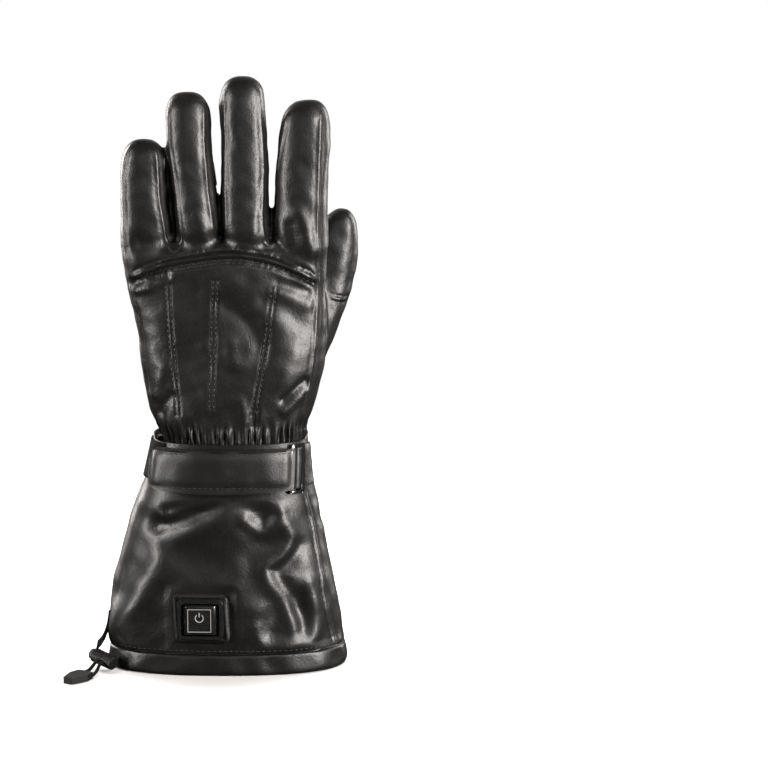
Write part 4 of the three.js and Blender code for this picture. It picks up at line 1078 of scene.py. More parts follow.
def makeCuff():
    s = cuffSettings
    levels = np.linspace(s["hem"], s["height"], s["up"])
    outer = cuffGrid(levels, 0.0, s["around"])
    flat = outer.reshape(-1, 3)
    draft = closedSleeve("cuffDraft", outer, cuffGrid(levels, -s["wall"], s["around"]))
    base = Surface(draft)
    no = normals(draft)[:len(flat)]
    quiet = calm(flat, no)
    height = addFolds(flat, no, cuffFolds) * quiet
    lines = [base.line(seam["points"], seam["side"]) for seam in cuffSeams]
    rise, ridge = seamRelief(flat, no, lines, [seam["kind"] for seam in cuffSeams], seamShapes)
    height += rise
    x, y, z = flat.T / mm
    sag = np.clip((s["height"] - 1 - z) / 12, 0, 1) * np.clip((z - s["hem"]) / 6, 0, 1)
    uneven = s["swell"] * waves(flat, s["swellSize"], 7) + s["ripple"] * waves(flat, s["rippleSize"], 8)
    height += uneven * mm * sag * (0.15 + 0.85 * quiet)
    # the leather is drawn in at the hem's seam and puckers above it
    height -= s["drawnIn"] * mm * np.exp(-((z - s["hem"]) / s["drawnSpread"]) ** 2)
    around = lengthRound(x, y, s["radius"])
    pucker = s["pucker"] * mm * np.exp(-((z - s["hem"] - s["puckerRise"]) / s["puckerSpread"]) ** 2)
    height += pucker * np.cos(around / 3.1 + np.sin(around / 9))
    moved = flat + no * height[:, None]
    inner = moved - no * s["wall"] * mm
    bpy.data.objects.remove(draft)
    shape = outer.shape
    cuff = closedSleeve("gloveCuff", moved.reshape(shape), inner.reshape(shape))
    # the seam ridges, which the leather's colour lightens as a painted highlight
    relief = cuff.data.attributes.new("relief", "FLOAT", "POINT")
    relief.data.foreach_set("value", np.r_[ridge, np.zeros(len(ridge))].astype(np.float32))
    return cuff


cuffPiece = makeCuff()
smoothShade(cuffPiece, 50)
finishPiece(cuffPiece, "glove", "leather", leatherFinish, "cuff_back_panel", "cuff_palm_panel")
cuffSurface = Surface(cuffPiece)


hemSettings = {"steps": 26, "inside": -4.4, "radius": 62, "centreX": -2.7, "ruck": 0.35, "swell": 0.5}

# z and how far the band stands out, from the foot to the seam
hemRows = [
    (0.0, -1.6), (0.3, -0.3), (1.2, 0.6), (3.0, 0.9), (6.0, 0.7), (9.0, 0.3), (11.0, -0.1),
    (11.8, -0.6), (12.2, -1.4),
]


def makeHem():
    s = hemSettings
    sides, seam = cuffSettings["around"], cuffSettings["hem"]
    fine = catmull(hemRows, s["steps"])
    levels = fine[:, 0]
    grid = cuffGrid(np.full(len(levels), seam), fine[:, 1], sides)
    grid[:, :, 2] = levels[:, None] * mm
    flat = grid.reshape(-1, 3)
    x, y, z = flat.T / mm
    around = lengthRound(x, y, s["radius"])
    bulk = np.sin(np.clip(z / seam, 0, 1) * math.pi)
    ruck = s["ruck"] * np.cos(around / 3.3 + 1.4 * np.sin(around / 13))
    ruck += s["swell"] * waves(flat * [1, 1, 0.4], 0.026, 21)
    centre = np.array([s["centreX"] * mm, 0, 0])
    way = (flat - centre) * [1, 1, 0]
    way /= np.linalg.norm(way, axis=1)[:, None]
    moved = flat + way * (ruck * bulk * mm)[:, None]
    inner = cuffGrid(np.full(len(levels), seam), s["inside"], sides)
    inner[:, :, 2] = levels[:, None] * mm
    hem = closedSleeve("hemBand", moved.reshape(grid.shape), inner)
    smoothShade(hem, 50)
    return finishPiece(hem, "glove", "leather", leatherFinish, "hem_band")


makeHem()


def makeCuffStitches():
    copies = []
    for row in cuffStitching:
        for offset in row["offsets"]:
            copies += stitchesAlong(cuffSurface.line(offsetLine(row["points"], offset), row["side"], 0.8))
    return joinedStitches("cuffStitches", copies)


makeCuffStitches()
print("cuff sewn")

# Laying flat pieces on the cuff. A flat piece has x along the leather from the middle of its
# side, z up, and y outwards.

# Points, outward normals and lengths round the cuff for every millimetre of height.
def roundTable(side):
    sign = -1 if side == "back" else 1
    turn = sign * math.pi / 2 - sign * np.linspace(-1.4 * math.pi / 2, 1.4 * math.pi / 2, 721)
    levels = np.arange(12, 134)
    cx, halfX, halfY = cuffSection(levels.astype(float))
    x = cx[:, None] + halfX[:, None] * bow(np.cos(turn))[None]
    y = halfY[:, None] * bow(np.sin(turn))[None]
    steps = np.hypot(np.diff(x, axis=1), np.diff(y, axis=1))
    length = np.concatenate([np.zeros((len(levels), 1)), np.cumsum(steps, axis=1)], axis=1)
    length -= length[:, 360:361]
    tangent = np.stack([np.gradient(x, axis=1), np.gradient(y, axis=1)], axis=2)
    tangent /= np.linalg.norm(tangent, axis=2)[:, :, None] + 1e-12
    out = np.stack([tangent[:, :, 1], -tangent[:, :, 0]], axis=2) * -sign
    return levels, x, y, length, out


cuffTables = {"back": roundTable("back"), "palm": roundTable("palm")}


# The place and outward normal at length u round the cuff and height z.
def onCuff(u, z, side, lift=0.0, follow=0.0):
    levels, x, y, length, out = cuffTables[side]
    row = int(np.clip(round(z) - levels[0], 0, len(levels) - 1))
    place = Vector((np.interp(u, length[row], x[row]) * mm, np.interp(u, length[row], y[row]) * mm,
                    z * mm))
    normal = Vector((np.interp(u, length[row], out[row, :, 0]),
                     np.interp(u, length[row], out[row, :, 1]), 0)).normalized()
    if follow:
        hit, _, _, _ = cuffSurface.tree.ray_cast(place + normal * 12 * mm, -normal, 24 * mm)
        if hit is not None:
            place = place.lerp(hit, follow)
    return place + normal * lift * mm, normal


def lengthAt(x, z, side):
    levels, xs, _, length, _ = cuffTables[side]
    row = int(np.clip(round(z) - levels[0], 0, len(levels) - 1))
    middle = slice(120, 601)
    return float(np.interp(x, xs[row, middle], length[row, middle]))


# Moves each vertex (u, out, z) onto the cuff, then makes the faces' normals point outwards.
def layOnCuff(obj, side, lift, follow=0.0):
    co = coordinates(obj) / mm
    moved = np.array([onCuff(u, z, side, lift + out, follow)[0] for u, out, z in co])
    setCoordinates(obj, moved)
    makeActive(obj)
    bpy.ops.object.mode_set(mode="EDIT")
    bpy.ops.mesh.select_all(action="SELECT")
    bpy.ops.mesh.normals_make_consistent(inside=False)
    bpy.ops.object.mode_set(mode="OBJECT")


def selectVertices(obj, test):
    bpy.ops.object.mode_set(mode="OBJECT")
    for vertex in obj.data.vertices:
        vertex.select = bool(test(vertex.co / mm))
    for edge in obj.data.edges:
        edge.select = all(obj.data.vertices[v].select for v in edge.vertices)
    for face in obj.data.polygons:
        face.select = all(obj.data.vertices[v].select for v in face.vertices)
    bpy.ops.object.mode_set(mode="EDIT")


# Cuts the mesh in edit mode at each place along an axis.
def cutAcross(axis, places):
    for place in places:
        cut = [0.0, 0.0, 0.0]
        cut[axis] = place * mm
        way = [0, 0, 0]
        way[axis] = 1
        bpy.ops.mesh.select_all(action="SELECT")
        bpy.ops.mesh.bisect(plane_co=cut, plane_no=way)


# A plane in x and z whose corners, given by their test and radius, are rounded.
def flatPlate(name, left, right, foot, top, corners, steps=(1.5, 2.0), segments=6):
    clearSelection()
    bpy.ops.mesh.primitive_plane_add(
        size=1, location=((left + right) / 2 * mm, 0, (foot + top) / 2 * mm),
        rotation=(math.pi / 2, 0, 0))
    plate = bpy.context.active_object
    plate.name = name
    plate.scale = ((right - left) * mm, (top - foot) * mm, 1)
    bpy.ops.object.transform_apply(location=True, rotation=True, scale=True)
    bpy.ops.object.mode_set(mode="EDIT")
    for test, radius in corners:
        selectVertices(plate, test)
        bpy.ops.mesh.bevel(offset=radius * mm, segments=segments, affect="VERTICES")
    for axis, low, high, step in ((0, left, right, steps[0]), (2, foot, top, steps[1])):
        count = max(1, round((high - low) / step))
        cutAcross(axis, [low + (high - low) * k / count for k in range(1, count)])
    bpy.ops.object.mode_set(mode="OBJECT")
    return plate


# Each corner with its own test, for plates that are round at all four.
def allCorners(left, right, foot, top, radius):
    near = 0.2
    return [(lambda co, x=x, z=z: abs(co.x - x) < near and abs(co.z - z) < near, radius)
            for x in (left, right) for z in (foot, top)]


def thicken(obj, thickness, bevel=0.35, segments=2):
    applyModifier(obj, "SOLIDIFY", thickness=thickness * mm, offset=1)
    applyModifier(obj, "BEVEL", width=bevel * mm, segments=segments, limit_method="ANGLE",
                  angle_limit=math.radians(50))
    smoothShade(obj, 40)


# Points along a rounded rectangle on the cuff, for its row of stitches.
def outlinePlaces(left, right, foot, top, radius, side, lift, follow=0.0, open=()):
    points = []
    quarter = np.linspace(0, math.pi / 2, 7)
    for cx, cz, start in ((right - radius, top - radius, 0), (left + radius, top - radius, 1),
                          (left + radius, foot + radius, 2), (right - radius, foot + radius, 3)):
        for angle in quarter + start * math.pi / 2:
            points.append((cx + radius * math.cos(angle), cz + radius * math.sin(angle)))
    points.append(points[0])
    fine = []
    for (ax, az), (bx, bz) in zip(points[:-1], points[1:]):
        count = max(1, int(math.hypot(bx - ax, bz - az) / 0.8))
        fine += [(ax + (bx - ax) * t / count, az + (bz - az) * t / count) for t in range(count)]
    fine.append(points[0])
    return [onCuff(u, z, side, lift, follow) for u, z in fine if not any(test(u, z) for test in open)]


# Wrist strap

strapSettings = {
    "left": lengthAt(-45, 115, "back"),
    "right": lengthAt(34.4, 115, "back"),
    "foot": 106.4,
    "top": 130.6,
    "corner": 7.5,
    "thickness": 2.2,
    "lift": 1.5,
    "stitchInset": 2.6,
    "sag": 1.2,
}


def makeStrap():
    s = strapSettings
    near = 0.2
    corners = [
        (lambda co: abs(co.x - s["left"]) < near and co.z > 124, s["corner"]),
        (lambda co: abs(co.x - s["left"]) < near and co.z < 112, s["corner"]),
        (lambda co: abs(co.x - s["right"]) < near, 1.0),
    ]
    strap = flatPlate("wristStrap", s["left"], s["right"], s["foot"], s["top"], corners)
    co = coordinates(strap) / mm
    span = (co[:, 0] - s["left"]) / (s["right"] - s["left"])
    co[:, 2] -= s["sag"] * np.sin(np.clip(span, 0, 1) * math.pi) * (s["top"] - co[:, 2]) / 24
    # the padding swells between the rows of stitches
    inset = np.minimum(np.minimum(co[:, 0] - s["left"], s["right"] - co[:, 0]),
                       np.minimum(co[:, 2] - s["foot"], s["top"] - co[:, 2]))
    co[:, 1] = 0.9 * np.clip((inset - 1.5) / 4, 0, 1)
    co[:, 1] -= 0.75 * np.exp(-((inset - s["stitchInset"]) / 0.9) ** 2)
    co[:, 1] += 0.25 * waves(co, 16, 31) * np.clip(inset / 4, 0, 1)
    setCoordinates(strap, co * mm)
    layOnCuff(strap, "back", s["lift"])
    thicken(strap, s["thickness"], 0.9, 3)
    finishPiece(strap, "glove", "leather", strapFinish, "wrist_strap")
    inset = s["stitchInset"]
    places = outlinePlaces(
        s["left"] + inset, s["right"] + 3, s["foot"] + inset, s["top"] - inset, s["corner"] - 2,
        "back", s["lift"] + s["thickness"] - 0.25, open=[lambda u, z: u > s["right"] - 1.5])
    return stitchesAlong(places)


fittingSettings = {
    "padFoot": 111.0,
    "padTop": 132.6,
    "padReach": 17.0,        # how far the pad goes round the side
    "ringFoot": 104.0,
    "ringTop": 132.4,
    "ringWidth": 9.2,
    "ringBar": 2.3,
    "ringOverlap": 2.4,      # of the ring under the strap's fold
    "tabFoot": 107.0,
    "tabTop": 130.4,
    "tabReach": 19.0,
    "tabRoll": 2.6,          # how high the tab rises over the ring's bar
    "tabSeam": 9.2,
}


def makeStrapFittings():
    s = strapSettings
    f = fittingSettings
    pad = flatPlate("hookPad", lengthAt(-46, 120, "back") - f["padReach"], lengthAt(-38, 120, "back"),
                    f["padFoot"], f["padTop"], [], (1.4, 2.0))
    layOnCuff(pad, "back", 0.3)
    thicken(pad, 1.1, 0.3)
    finishPiece(pad, "glove", "webbing", webbingFinish, "strap_backing")

    left = s["right"] - f["ringOverlap"]
    right = left + f["ringWidth"]
    ring = flatPlate("strapRing", left, right, f["ringFoot"], f["ringTop"],
                     allCorners(left, right, f["ringFoot"], f["ringTop"], 1.6), (20, 40))
    makeActive(ring)
    bpy.ops.object.mode_set(mode="EDIT")
    bpy.ops.mesh.select_all(action="SELECT")
    bpy.ops.mesh.inset(thickness=f["ringBar"] * mm, depth=0)
    bpy.ops.mesh.delete(type="FACE")
    cutAcross(2, [f["ringFoot"] + 2 * k for k in range(1, 14)])
    bpy.ops.object.mode_set(mode="OBJECT")
    layOnCuff(ring, "back", 1.2)
    thicken(ring, 2.2, 0.8, 3)
    finishPiece(ring, "glove", "plastic", plasticFinish, "strap_ring")

    tab = flatPlate("strapTab", s["right"] + 0.5, s["right"] + f["tabReach"], f["tabFoot"], f["tabTop"],
                    [(lambda co: co.x < s["right"] + 1, 0.8)], (1.2, 2.0))
    co = coordinates(tab) / mm
    near = co[:, 0] - s["right"]
    co[:, 1] = f["tabRoll"] * np.exp(-((near - 2.2) / 2.6) ** 2) + 0.2 * waves(co, 9, 32)
    setCoordinates(tab, co * mm)
    layOnCuff(tab, "back", 0.2)
    thicken(tab, 1.1, 0.4)
    finishPiece(tab, "glove", "leather", strapFinish, "strap_tab")
    rows = np.arange(f["tabFoot"] + 1, f["tabTop"] - 0.8, 0.8)
    return stitchesAlong([onCuff(s["right"] + f["tabSeam"], z, "back", 2.0) for z in rows])


trimStitches = makeStrap() + makeStrapFittings()
print("strap made")


# Zip of the battery pocket, with its tape in a stitched window

zipSettings = {
    "left": lengthAt(-41, 36, "palm"),
    "right": lengthAt(51, 36, "palm"),
    "z": 36.0,
    "window": 14.0,
    "teethLeft": lengthAt(-35, 36, "palm"),
    "teethRight": lengthAt(26, 36, "palm"),
    "pitch": 1.75,
    "toothLength": 3.0,
    "toothWidth": 0.85,
    "toothDepth": 1.1,
}


# One metal tooth: a small bevelled block that narrows towards its nose.
def makeTooth():
    clearSelection()
    bpy.ops.mesh.primitive_cube_add(size=1, location=(0, 0, 0))
    tooth = bpy.context.active_object
    tooth.scale = (zipSettings["toothWidth"] * mm, zipSettings["toothDepth"] * mm,
                   zipSettings["toothLength"] * mm)
    bpy.ops.object.transform_apply(location=False, rotation=False, scale=True)
    bpy.ops.object.mode_set(mode="EDIT")
    selectVertices(tooth, lambda co: co.z > 0)
    bpy.ops.transform.resize(value=(0.55, 0.8, 1))
    bpy.ops.mesh.select_all(action="SELECT")
    bpy.ops.mesh.bevel(offset=0.12 * mm, segments=1, affect="EDGES")
    bpy.ops.object.mode_set(mode="OBJECT")
    return tooth


def makeZip():
    s = zipSettings
    foot, top = s["z"] - s["window"] / 2, s["z"] + s["window"] / 2
    tape = flatPlate("zipTape", s["left"], s["right"], foot, top,
                     allCorners(s["left"], s["right"], foot, top, 3.0), (1.6, 1.2))
    co = coordinates(tape) / mm
    away = np.abs(co[:, 2] - s["z"])
    co[:, 1] = -0.25 * np.exp(-(away / 4.4) ** 6) + 0.35 * np.exp(-((away - 5.0) / 1.0) ** 2)
    setCoordinates(tape, co * mm)
    layOnCuff(tape, "palm", 0.35, 1.0)
    thicken(tape, 0.7, 0.25)
    finishPiece(tape, "glove", "webbing", webbingFinish, "zip_tape")

    tooth = makeTooth()
    shape = coordinates(tooth)
    faces = [tuple(p.vertices) for p in tooth.data.polygons]
    bpy.data.objects.remove(tooth)
    points, allFaces = [], []
    count = int((s["teethRight"] - s["teethLeft"]) / s["pitch"] * 2)
    for k in range(count):
        side = 1 if k % 2 else -1
        u = s["teethLeft"] + k * s["pitch"] / 2
        place, normal = onCuff(u, s["z"] - side * 1.0, "palm", 1.35, 1.0)
        up = Vector((0, 0, 1))
        along = up.cross(normal)
        turn = Matrix((along, normal, up * side)).transposed()
        if turn.determinant() < 0:
            turn = Matrix((-along, normal, up * side)).transposed()
        start = len(points)
        points += [place + turn @ Vector(co) for co in shape]
        allFaces += [tuple(start + v for v in face) for face in faces]
    teeth = meshObject("zipTeeth", points, allFaces)
    smoothShade(teeth, 30)
    finishPiece(teeth, "glove", "zip_metal", zipFinish, "zip_teeth")
    places = outlinePlaces(s["left"] + 0.9, s["right"] - 0.9, foot + 0.9, top - 0.9, 2.4, "palm", 1.0, 1.0)
    return stitchesAlong(places, {**stitchSettings, "length": 1.9, "pitch": 2.6})


trimStitches += makeZip()


# Charging lead's outlet

outletSettings = {
    "left": lengthAt(26.2, 63, "palm"),
    "right": lengthAt(46.6, 63, "palm"),
    "foot": 45.0,
    "top": 81.0,
    "hoodX": 38.2,
    "hoodZ": 61.5,
    "hoodRadius": 5.7,
    "hoodRise": 19.0,        # from its foot to where the dome starts
    "hoodBelow": 12.4,       # from its foot to its middle
    "hoodDeep": 1.18,        # depth for each width
    "hoodSink": 1.2,
    "seamInset": 2.4,
}


def makeOutlet():
    s = outletSettings
    patch = flatPlate("connectorPatch", s["left"], s["right"], s["foot"], s["top"],
                      allCorners(s["left"], s["right"], s["foot"], s["top"], 3.6), (1.6, 2.0))
    co = coordinates(patch) / mm
    inset = np.minimum(np.minimum(co[:, 0] - s["left"], s["right"] - co[:, 0]),
                       np.minimum(co[:, 2] - s["foot"], s["top"] - co[:, 2]))
    co[:, 1] = -0.35 * np.exp(-((inset - 2.4) / 0.8) ** 2)
    setCoordinates(patch, co * mm)
    layOnCuff(patch, "palm", 0.3, 1.0)
    thicken(patch, 1.3, 0.45, 3)
    finishPiece(patch, "glove", "rubber", rubberFinish, "connector_patch")

    clearSelection()
    bpy.ops.mesh.primitive_uv_sphere_add(
        segments=32, ring_count=20, radius=s["hoodRadius"] * mm, location=(0, 0, 0))
    hood = bpy.context.active_object
    hood.name = "connectorHood"
    bpy.ops.object.mode_set(mode="EDIT")
    selectVertices(hood, lambda co: co.z > 0.01)
    bpy.ops.transform.translate(value=(0, 0, s["hoodRise"] * mm))
    bpy.ops.mesh.select_all(action="SELECT")
    bpy.ops.transform.resize(value=(1, s["hoodDeep"], 1))
    for place, way in ((0, 0, 0.02), (0, 0, -1)), ((0, -s["hoodSink"], 0), (0, -1, 0)):
        bpy.ops.mesh.select_all(action="SELECT")
        bpy.ops.mesh.bisect(plane_co=Vector(place) * mm, plane_no=way, clear_outer=True, use_fill=True)
    bpy.ops.mesh.select_all(action="SELECT")
    bpy.ops.transform.translate(value=(0, 0, -s["hoodBelow"] * mm))
    bpy.ops.object.mode_set(mode="OBJECT")
    place, normal = onCuff(lengthAt(s["hoodX"], s["hoodZ"], "palm"), s["hoodZ"], "palm", 1.0, 1.0)
    up = Vector((0, 0, 1))
    across = normal.cross(up)
    turn = Matrix((across, normal, up)).transposed().to_4x4()
    hood.data.transform(Matrix.Translation(place) @ turn)
    hood.data.update()
    applyModifier(hood, "BEVEL", width=0.5 * mm, segments=3, limit_method="ANGLE",
                  angle_limit=math.radians(50))
    smoothShade(hood, 45)
    finishPiece(hood, "glove", "rubber", plasticFinish, "connector_hood")
    inset = s["seamInset"]
    places = outlinePlaces(s["left"] + inset, s["right"] - inset, s["foot"] + inset, s["top"] - inset, 1.2,
                           "palm", 1.35, 1.0)
    return stitchesAlong(places, {**stitchSettings, "length": 1.8, "pitch": 2.4})


trimStitches += makeOutlet()
print("zip and outlet made")


# Patches of the palm

# Drops a flat plate straight onto the hand, from the back or the palm.
def projectedPlate(obj, side, lift, thickness, bevel=0.3):
    co = coordinates(obj)
    moved = co.copy()
    last = None
    for k, (x, _, z) in enumerate(co / mm):
        hit, normal = handSurface.at(x, z, side)
        if hit is None:
            hit, normal = last
        last = (hit, normal)
        moved[k] = hit + normal * lift * mm
    setCoordinates(obj, moved)
    makeActive(obj)
    bpy.ops.object.mode_set(mode="EDIT")
    bpy.ops.mesh.select_all(action="SELECT")
    bpy.ops.mesh.vertices_smooth(factor=0.5, repeat=3)
    bpy.ops.object.mode_set(mode="OBJECT")
    facing = np.mean(normals(obj)[:, 1])
    if (facing < 0) == (side == "palm"):
        bpy.ops.object.mode_set(mode="EDIT")
        bpy.ops.mesh.select_all(action="SELECT")
        bpy.ops.mesh.flip_normals()
        bpy.ops.object.mode_set(mode="OBJECT")
    thicken(obj, thickness, bevel)


suedeEdges = [
    ((-46.4, 201.9), (1.2, 189.7)), ((1.2, 189.7), (4.6, 139.0)), ((4.6, 139.0), (-37.5, 139.0)),
    ((-39.0, 146.0), (-44.2, 164.0)), ((-37.0, 139.0), (-42.0, 154.0)), ((-44.2, 164.0), (-46.8, 203.0)),
]


# The blank that the edges are cut from, and where its two rows of stitches stand
suedeSettings = {
    "left": -52, "right": 10, "foot": 136, "top": 206,
    "middle": (-20, 165),
    "step": 1.5,
    "seam": [(1.2, 188.4), (4.3, 141.0)],
    "offsets": (-1.6, -4.6),
}


def makeSuede():
    s = suedeSettings
    left, right, foot, top = s["left"], s["right"], s["foot"], s["top"]
    plate = flatPlate("suedePatch", left, right, foot, top, [], (70, 80))
    makeActive(plate)
    bpy.ops.object.mode_set(mode="EDIT")
    middle = Vector(s["middle"])
    for (ax, az), (bx, bz) in suedeEdges:
        way = Vector((az - bz, bx - ax)).normalized()
        if (middle - Vector((ax, az))).dot(way) > 0:
            way = -way
        bpy.ops.mesh.select_all(action="SELECT")
        bpy.ops.mesh.bisect(plane_co=(ax * mm, 0, az * mm), plane_no=(way.x, 0, way.y), clear_outer=True)
    for axis, low, high in ((0, left, right), (2, foot, top)):
        cutAcross(axis, [low + s["step"] * k for k in range(1, int((high - low) / s["step"]))])
    bpy.ops.object.mode_set(mode="OBJECT")
    projectedPlate(plate, "palm", 0.15, 0.9)
    finishPiece(plate, "glove", "suede", suedeFinish, "suede_patch")
    seam = Surface(plate)
    copies = []
    for offset in s["offsets"]:
        copies += stitchesAlong(seam.line(offsetLine(s["seam"], offset), "palm", 0.8))
    return copies


indexPatchSettings = {
    "left": 29.5, "right": 49.6, "foot": 240, "top": 276.4,
    "corner": 8.5,
    "step": 1.3,
    "offsets": (1.4, 3.6),    # of its two rows of stitches from its edge
    "archInset": 1.6,
    "archRadius": 8.4,
}


def makeIndexPatch():
    s = indexPatchSettings
    left, right, foot, top = s["left"], s["right"], s["foot"], s["top"]
    plate = flatPlate("indexPatch", left, right, foot, top, [], (70, 80))
    makeActive(plate)
    bpy.ops.object.mode_set(mode="EDIT")
    near = 0.3
    for x in (left, right):
        selectVertices(plate, lambda co, x=x: abs(co.x - x) < near and co.z > top - near)
        bpy.ops.mesh.bevel(offset=s["corner"] * mm, segments=8, affect="VERTICES")
    for axis, low, high in ((0, left, right), (2, foot, top)):
        cutAcross(axis, [low + s["step"] * k for k in range(1, int((high - low) / s["step"]))])
    bpy.ops.object.mode_set(mode="OBJECT")
    projectedPlate(plate, "palm", 0.12, 0.8)
    finishPiece(plate, "glove", "leather", leatherFinish, "index_patch")
    seam = Surface(plate)
    copies = []
    for offset in s["offsets"]:
        edge = [(right, foot + 4), (right, top - 10.4)]
        copies += stitchesAlong(seam.line(offsetLine(edge, offset), "palm", 0.8))
    reach = s["archInset"] + s["archRadius"]
    arch = [(right - reach + s["archRadius"] * math.cos(a), top - reach + s["archRadius"] * math.sin(a))
            for a in np.linspace(0.3, 2.8, 9)]
    copies += stitchesAlong(seam.line(arch, "palm", 0.8))
    return copies


trimStitches += makeSuede() + makeIndexPatch()
print("patches made")


# Power button: pad, key and the marks on it. The housing keeps its CAD form.

buttonSettings = {
    "u": lengthAt(-17.4, 34, "back"),
    "z": 34.0,
    "width": 26.8,
    "height": 24.0,
    "border": 3.0,
    "corner": 6.5,
}


def makeButtonPad():
    s = buttonSettings
    left, right = s["u"] - s["width"] / 2 - s["border"], s["u"] + s["width"] / 2 + s["border"]
    foot, top = s["z"] - s["height"] / 2 - s["border"], s["z"] + s["height"] / 2 + s["border"]
    pad = flatPlate("buttonPad", left, right, foot, top, allCorners(left, right, foot, top, s["corner"]),
                    (1.2, 1.2))
    co = coordinates(pad) / mm
    inset = np.minimum(np.minimum(co[:, 0] - left, right - co[:, 0]),
                       np.minimum(co[:, 2] - foot, top - co[:, 2]))
    co[:, 1] = 1.9 * np.sin(np.clip(inset / 4.4, 0, 1) * math.pi) ** 0.7 - 0.3
    setCoordinates(pad, co * mm)
    layOnCuff(pad, "back", 0.2, 1.0)
    thicken(pad, 0.7, 0.2)
    finishPiece(pad, "glove", "leather", leatherFinish, "button_pad")


makeButtonPad()


keySettings = {
    "width": 18.0,
    "height": 17.2,
    "depth": 3.2,
    "slope": 1.1,            # how deep the bevels reach
    "face": 0.86,            # share of the width that is the flat face
    "drift": -0.35,          # the face stands aside, so that the bevels differ
    "round": 0.45,
}


# Turns across, up and out into the frame at the key.
def keyTurn():
    out = Vector((-0.03381, -0.99943, 0)).normalized()
    up = Vector((0, 0, 1))
    return Matrix((up.cross(out).normalized(), up, out)).transposed().to_4x4()


def makeKey():
    s = keySettings
    low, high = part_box("power_button")
    clearSelection()
    bpy.ops.mesh.primitive_cube_add(size=1, location=(0, 0, -s["depth"] / 2 * mm))
    key = bpy.context.active_object
    key.name = "powerKey"
    key.scale = (s["width"] * mm, s["height"] * mm, s["depth"] * mm)
    bpy.ops.object.transform_apply(location=True, rotation=False, scale=True)
    bpy.ops.object.mode_set(mode="EDIT")
    bpy.ops.mesh.select_all(action="SELECT")
    bpy.ops.mesh.bisect(plane_co=(0, 0, -s["slope"] * mm), plane_no=(0, 0, 1))
    selectVertices(key, lambda co: co.z > -0.1)
    bpy.ops.transform.resize(value=(s["face"], s["face"] + 0.04, 1))
    bpy.ops.transform.translate(value=(s["drift"] * mm, 0, 0))
    bpy.ops.object.mode_set(mode="OBJECT")
    applyModifier(key, "BEVEL", width=s["round"] * mm, segments=3, limit_method="ANGLE",
                  angle_limit=math.radians(20))
    smoothShade(key, 50)
    place = Vector(((low[0] + high[0]) / 2, low[1] + 0.0003, (low[2] + high[2]) / 2))
    key.data.transform(Matrix.Translation(place) @ keyTurn())
    key.data.update()
    finishPiece(key, "power_button", "plastic", plasticFinish, "power_button")


makeKey()


# Line frame and the open ring with a bar, raised a little from the key's face.
markSettings = {
    "frame": 13.4,           # side of the square line
    "line": 0.34,
    "ring": 2.5,             # radius of the open ring
    "ringLine": 0.5,
    "ringUp": 1.5,
    "gap": 1.1,              # half the ring's opening
    "bar": (0.5, 2.6),
    "barUp": 3.4,
    "thickness": 0.12,
}


def makeKeyMarks():
    s = markSettings
    low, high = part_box("power_button")
    centre = Vector(((low[0] + high[0]) / 2, low[1], (low[2] + high[2]) / 2))
    marks = []
    clearSelection()
    bpy.ops.mesh.primitive_plane_add(size=s["frame"] * mm, location=(0, 0, 0))
    line = bpy.context.active_object
    bpy.ops.object.mode_set(mode="EDIT")
    bpy.ops.mesh.inset(thickness=s["line"] * mm, depth=0)
    bpy.ops.mesh.delete(type="FACE")
    bpy.ops.object.mode_set(mode="OBJECT")
    marks.append(line)
    clearSelection()
    bpy.ops.mesh.primitive_circle_add(
        vertices=48, radius=s["ring"] * mm, fill_type="NGON", location=(0, s["ringUp"] * mm, 0))
    circle = bpy.context.active_object
    bpy.ops.object.transform_apply(location=True)
    bpy.ops.object.mode_set(mode="EDIT")
    bpy.ops.mesh.select_all(action="SELECT")
    bpy.ops.mesh.inset(thickness=s["ringLine"] * mm, depth=0)
    bpy.ops.mesh.delete(type="FACE")
    selectVertices(circle, lambda co: abs(co.x) < s["gap"] and co.y > 2.5)
    bpy.ops.mesh.delete(type="VERT")
    bpy.ops.object.mode_set(mode="OBJECT")
    marks.append(circle)
    clearSelection()
    bpy.ops.mesh.primitive_plane_add(size=1, location=(0, s["barUp"] * mm, 0))
    bar = bpy.context.active_object
    bar.scale = (s["bar"][0] * mm, s["bar"][1] * mm, 1)
    bpy.ops.object.transform_apply(location=True, scale=True)
    marks.append(bar)
    clearSelection()
    for mark in marks:
        mark.select_set(True)
    bpy.context.view_layer.objects.active = marks[0]
    bpy.ops.object.join()
    printed = bpy.context.active_object
    printed.name = "keyMarks"
    applyModifier(printed, "SOLIDIFY", thickness=s["thickness"] * mm, offset=1)
    face = Vector((centre.x + keySettings["drift"] * mm, low[1] + 0.25 * mm, centre.z))
    printed.data.transform(Matrix.Translation(face) @ keyTurn())
    printed.data.update()
    finishPiece(printed, "power_button", "plastic", inkFinish)


makeKeyMarks()


# Rolled edge along the top of the cuff

# The roll is thick on the palm side and thins out on the back, within fade of the middle.
pipingSettings = {
    "sides": 200,
    "tube": 10,
    "inset": 0.9,
    "thin": 0.5,
    "swell": 0.75,
    "rise": 1.2,
    "drop": 0.6,
    "fade": 8,
}


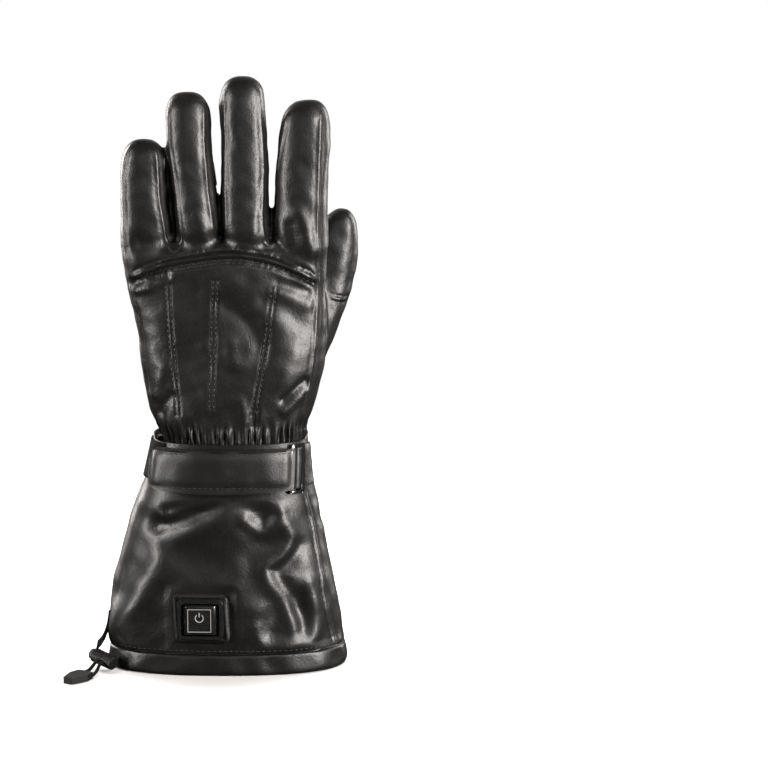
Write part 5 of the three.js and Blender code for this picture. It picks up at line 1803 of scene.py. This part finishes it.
def makePiping():
    s = pipingSettings
    sides, tube = s["sides"], s["tube"]
    turn = np.linspace(0, 2 * math.pi, tube, endpoint=False)
    rim = [cuffSettings["height"]]
    centre = cuffGrid(rim, -s["inset"], sides)[0]
    out = cuffGrid(rim, 1.1, sides)[0] - centre
    out /= np.linalg.norm(out, axis=1)[:, None]
    around = np.arange(sides) / sides * 2 * math.pi
    swell = np.clip(centre[:, 1] / (s["fade"] * mm) + 1.0, 0.0, 1.0)
    rise = s["rise"] + 0.5 * np.sin(around * 2 + 0.6) + 0.3 * np.sin(around * 5)
    lift = rise * swell - s["drop"] * (1 - swell)
    thick = s["thin"] + s["swell"] * swell
    rings = []
    for angle in turn:
        ring = centre + out * (thick * math.cos(angle))[:, None] * mm
        ring[:, 2] += (lift + thick * math.sin(angle)) * mm
        rings.append(ring)
    points = np.stack(rings).reshape(-1, 3)
    faces = []
    for level in range(tube):
        after = (level + 1) % tube
        for k in range(sides):
            step = (k + 1) % sides
            faces.append((level * sides + k, level * sides + step, after * sides + step, after * sides + k))
    piping = meshObject("cuffPiping", points, faces)
    smoothShade(piping)
    finishPiece(piping, "glove", "leather", leatherFinish, "cuff_piping")


makePiping()
joinedStitches("trimStitches", trimStitches)
print("button and piping made")

# CAD pieces that keep their shape
looks = {
    "button_bezel": plasticFinish, "zip_slider": zipFinish,
    "zip_pull": zipFinish, "cord_lock": plasticFinish, "lock_plunger": rubberFinish,
    "cord_tag": rubberFinish, "cord_strip": webbingFinish,
}
for nodeName, look in looks.items():
    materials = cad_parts[nodeName].data.materials
    materials.clear()
    materials.append(look)

# The drawcord

cordSettings = {
    "diameter": 2.0, "sides": 12, "steps": 150, "braidDepth": 0.06, "strands": 3, "twist": 2.4,
}

cordPoints = [
    (-65.6, -19.6, 6.0), (-67.6, -20.6, 6.1), (-70.2, -21.4, 6.3), (-72.9, -24.6, 6.3),
    (-75.8, -29.0, 5.5), (-77.4, -33.8, 2.6), (-78.9, -38.6, 1.7), (-80.7, -42.3, 2.0),
    (-83.2, -44.6, 2.0), (-86.4, -43.9, 2.0), (-88.3, -41.2, 2.0), (-87.6, -37.6, 2.0),
    (-85.2, -34.1, 1.7), (-81.9, -31.1, 2.6), (-78.4, -27.2, 6.1), (-75.4, -23.0, 6.9),
    (-72.4, -19.5, 6.9), (-69.6, -18.0, 6.5), (-67.2, -17.2, 6.0),
]


def makeCord():
    path = catmull(cordPoints, cordSettings["steps"]) * mm
    radius = cordSettings["diameter"] * mm / 2
    along = np.gradient(path, axis=0)
    along /= np.linalg.norm(along, axis=1)[:, None]
    side = np.cross(along, [0, 0, 1.0])
    side /= np.linalg.norm(side, axis=1)[:, None]
    up = np.cross(side, along)
    turn = np.linspace(0, 2 * math.pi, cordSettings["sides"], endpoint=False)
    steps = np.r_[0, np.cumsum(np.linalg.norm(np.diff(path, axis=0), axis=1))]
    rings = []
    for k in range(len(path)):
        twist = steps[k] / mm * cordSettings["twist"]
        strands = cordSettings["strands"] * turn
        braid = 1 + cordSettings["braidDepth"] * np.cos(strands + twist) * np.cos(strands - twist)
        rings.append(path[k] + radius * (np.cos(turn) * braid)[:, None] * side[k]
                     + radius * (np.sin(turn) * braid)[:, None] * up[k])
    sides = len(turn)
    points = np.vstack(rings)
    faces = gridFaces(len(path), sides, True)
    faces.append(tuple(range(sides)))
    faces.append(tuple(range(len(points) - sides, len(points)))[::-1])
    cord = meshObject("drawcordBraid", points, faces)
    smoothShade(cord)
    finishPiece(cord, "glove", "elastic", webbingFinish, "drawcord")
    print("drawcord length in mm:", round(steps[-1] / mm, 1))


makeCord()
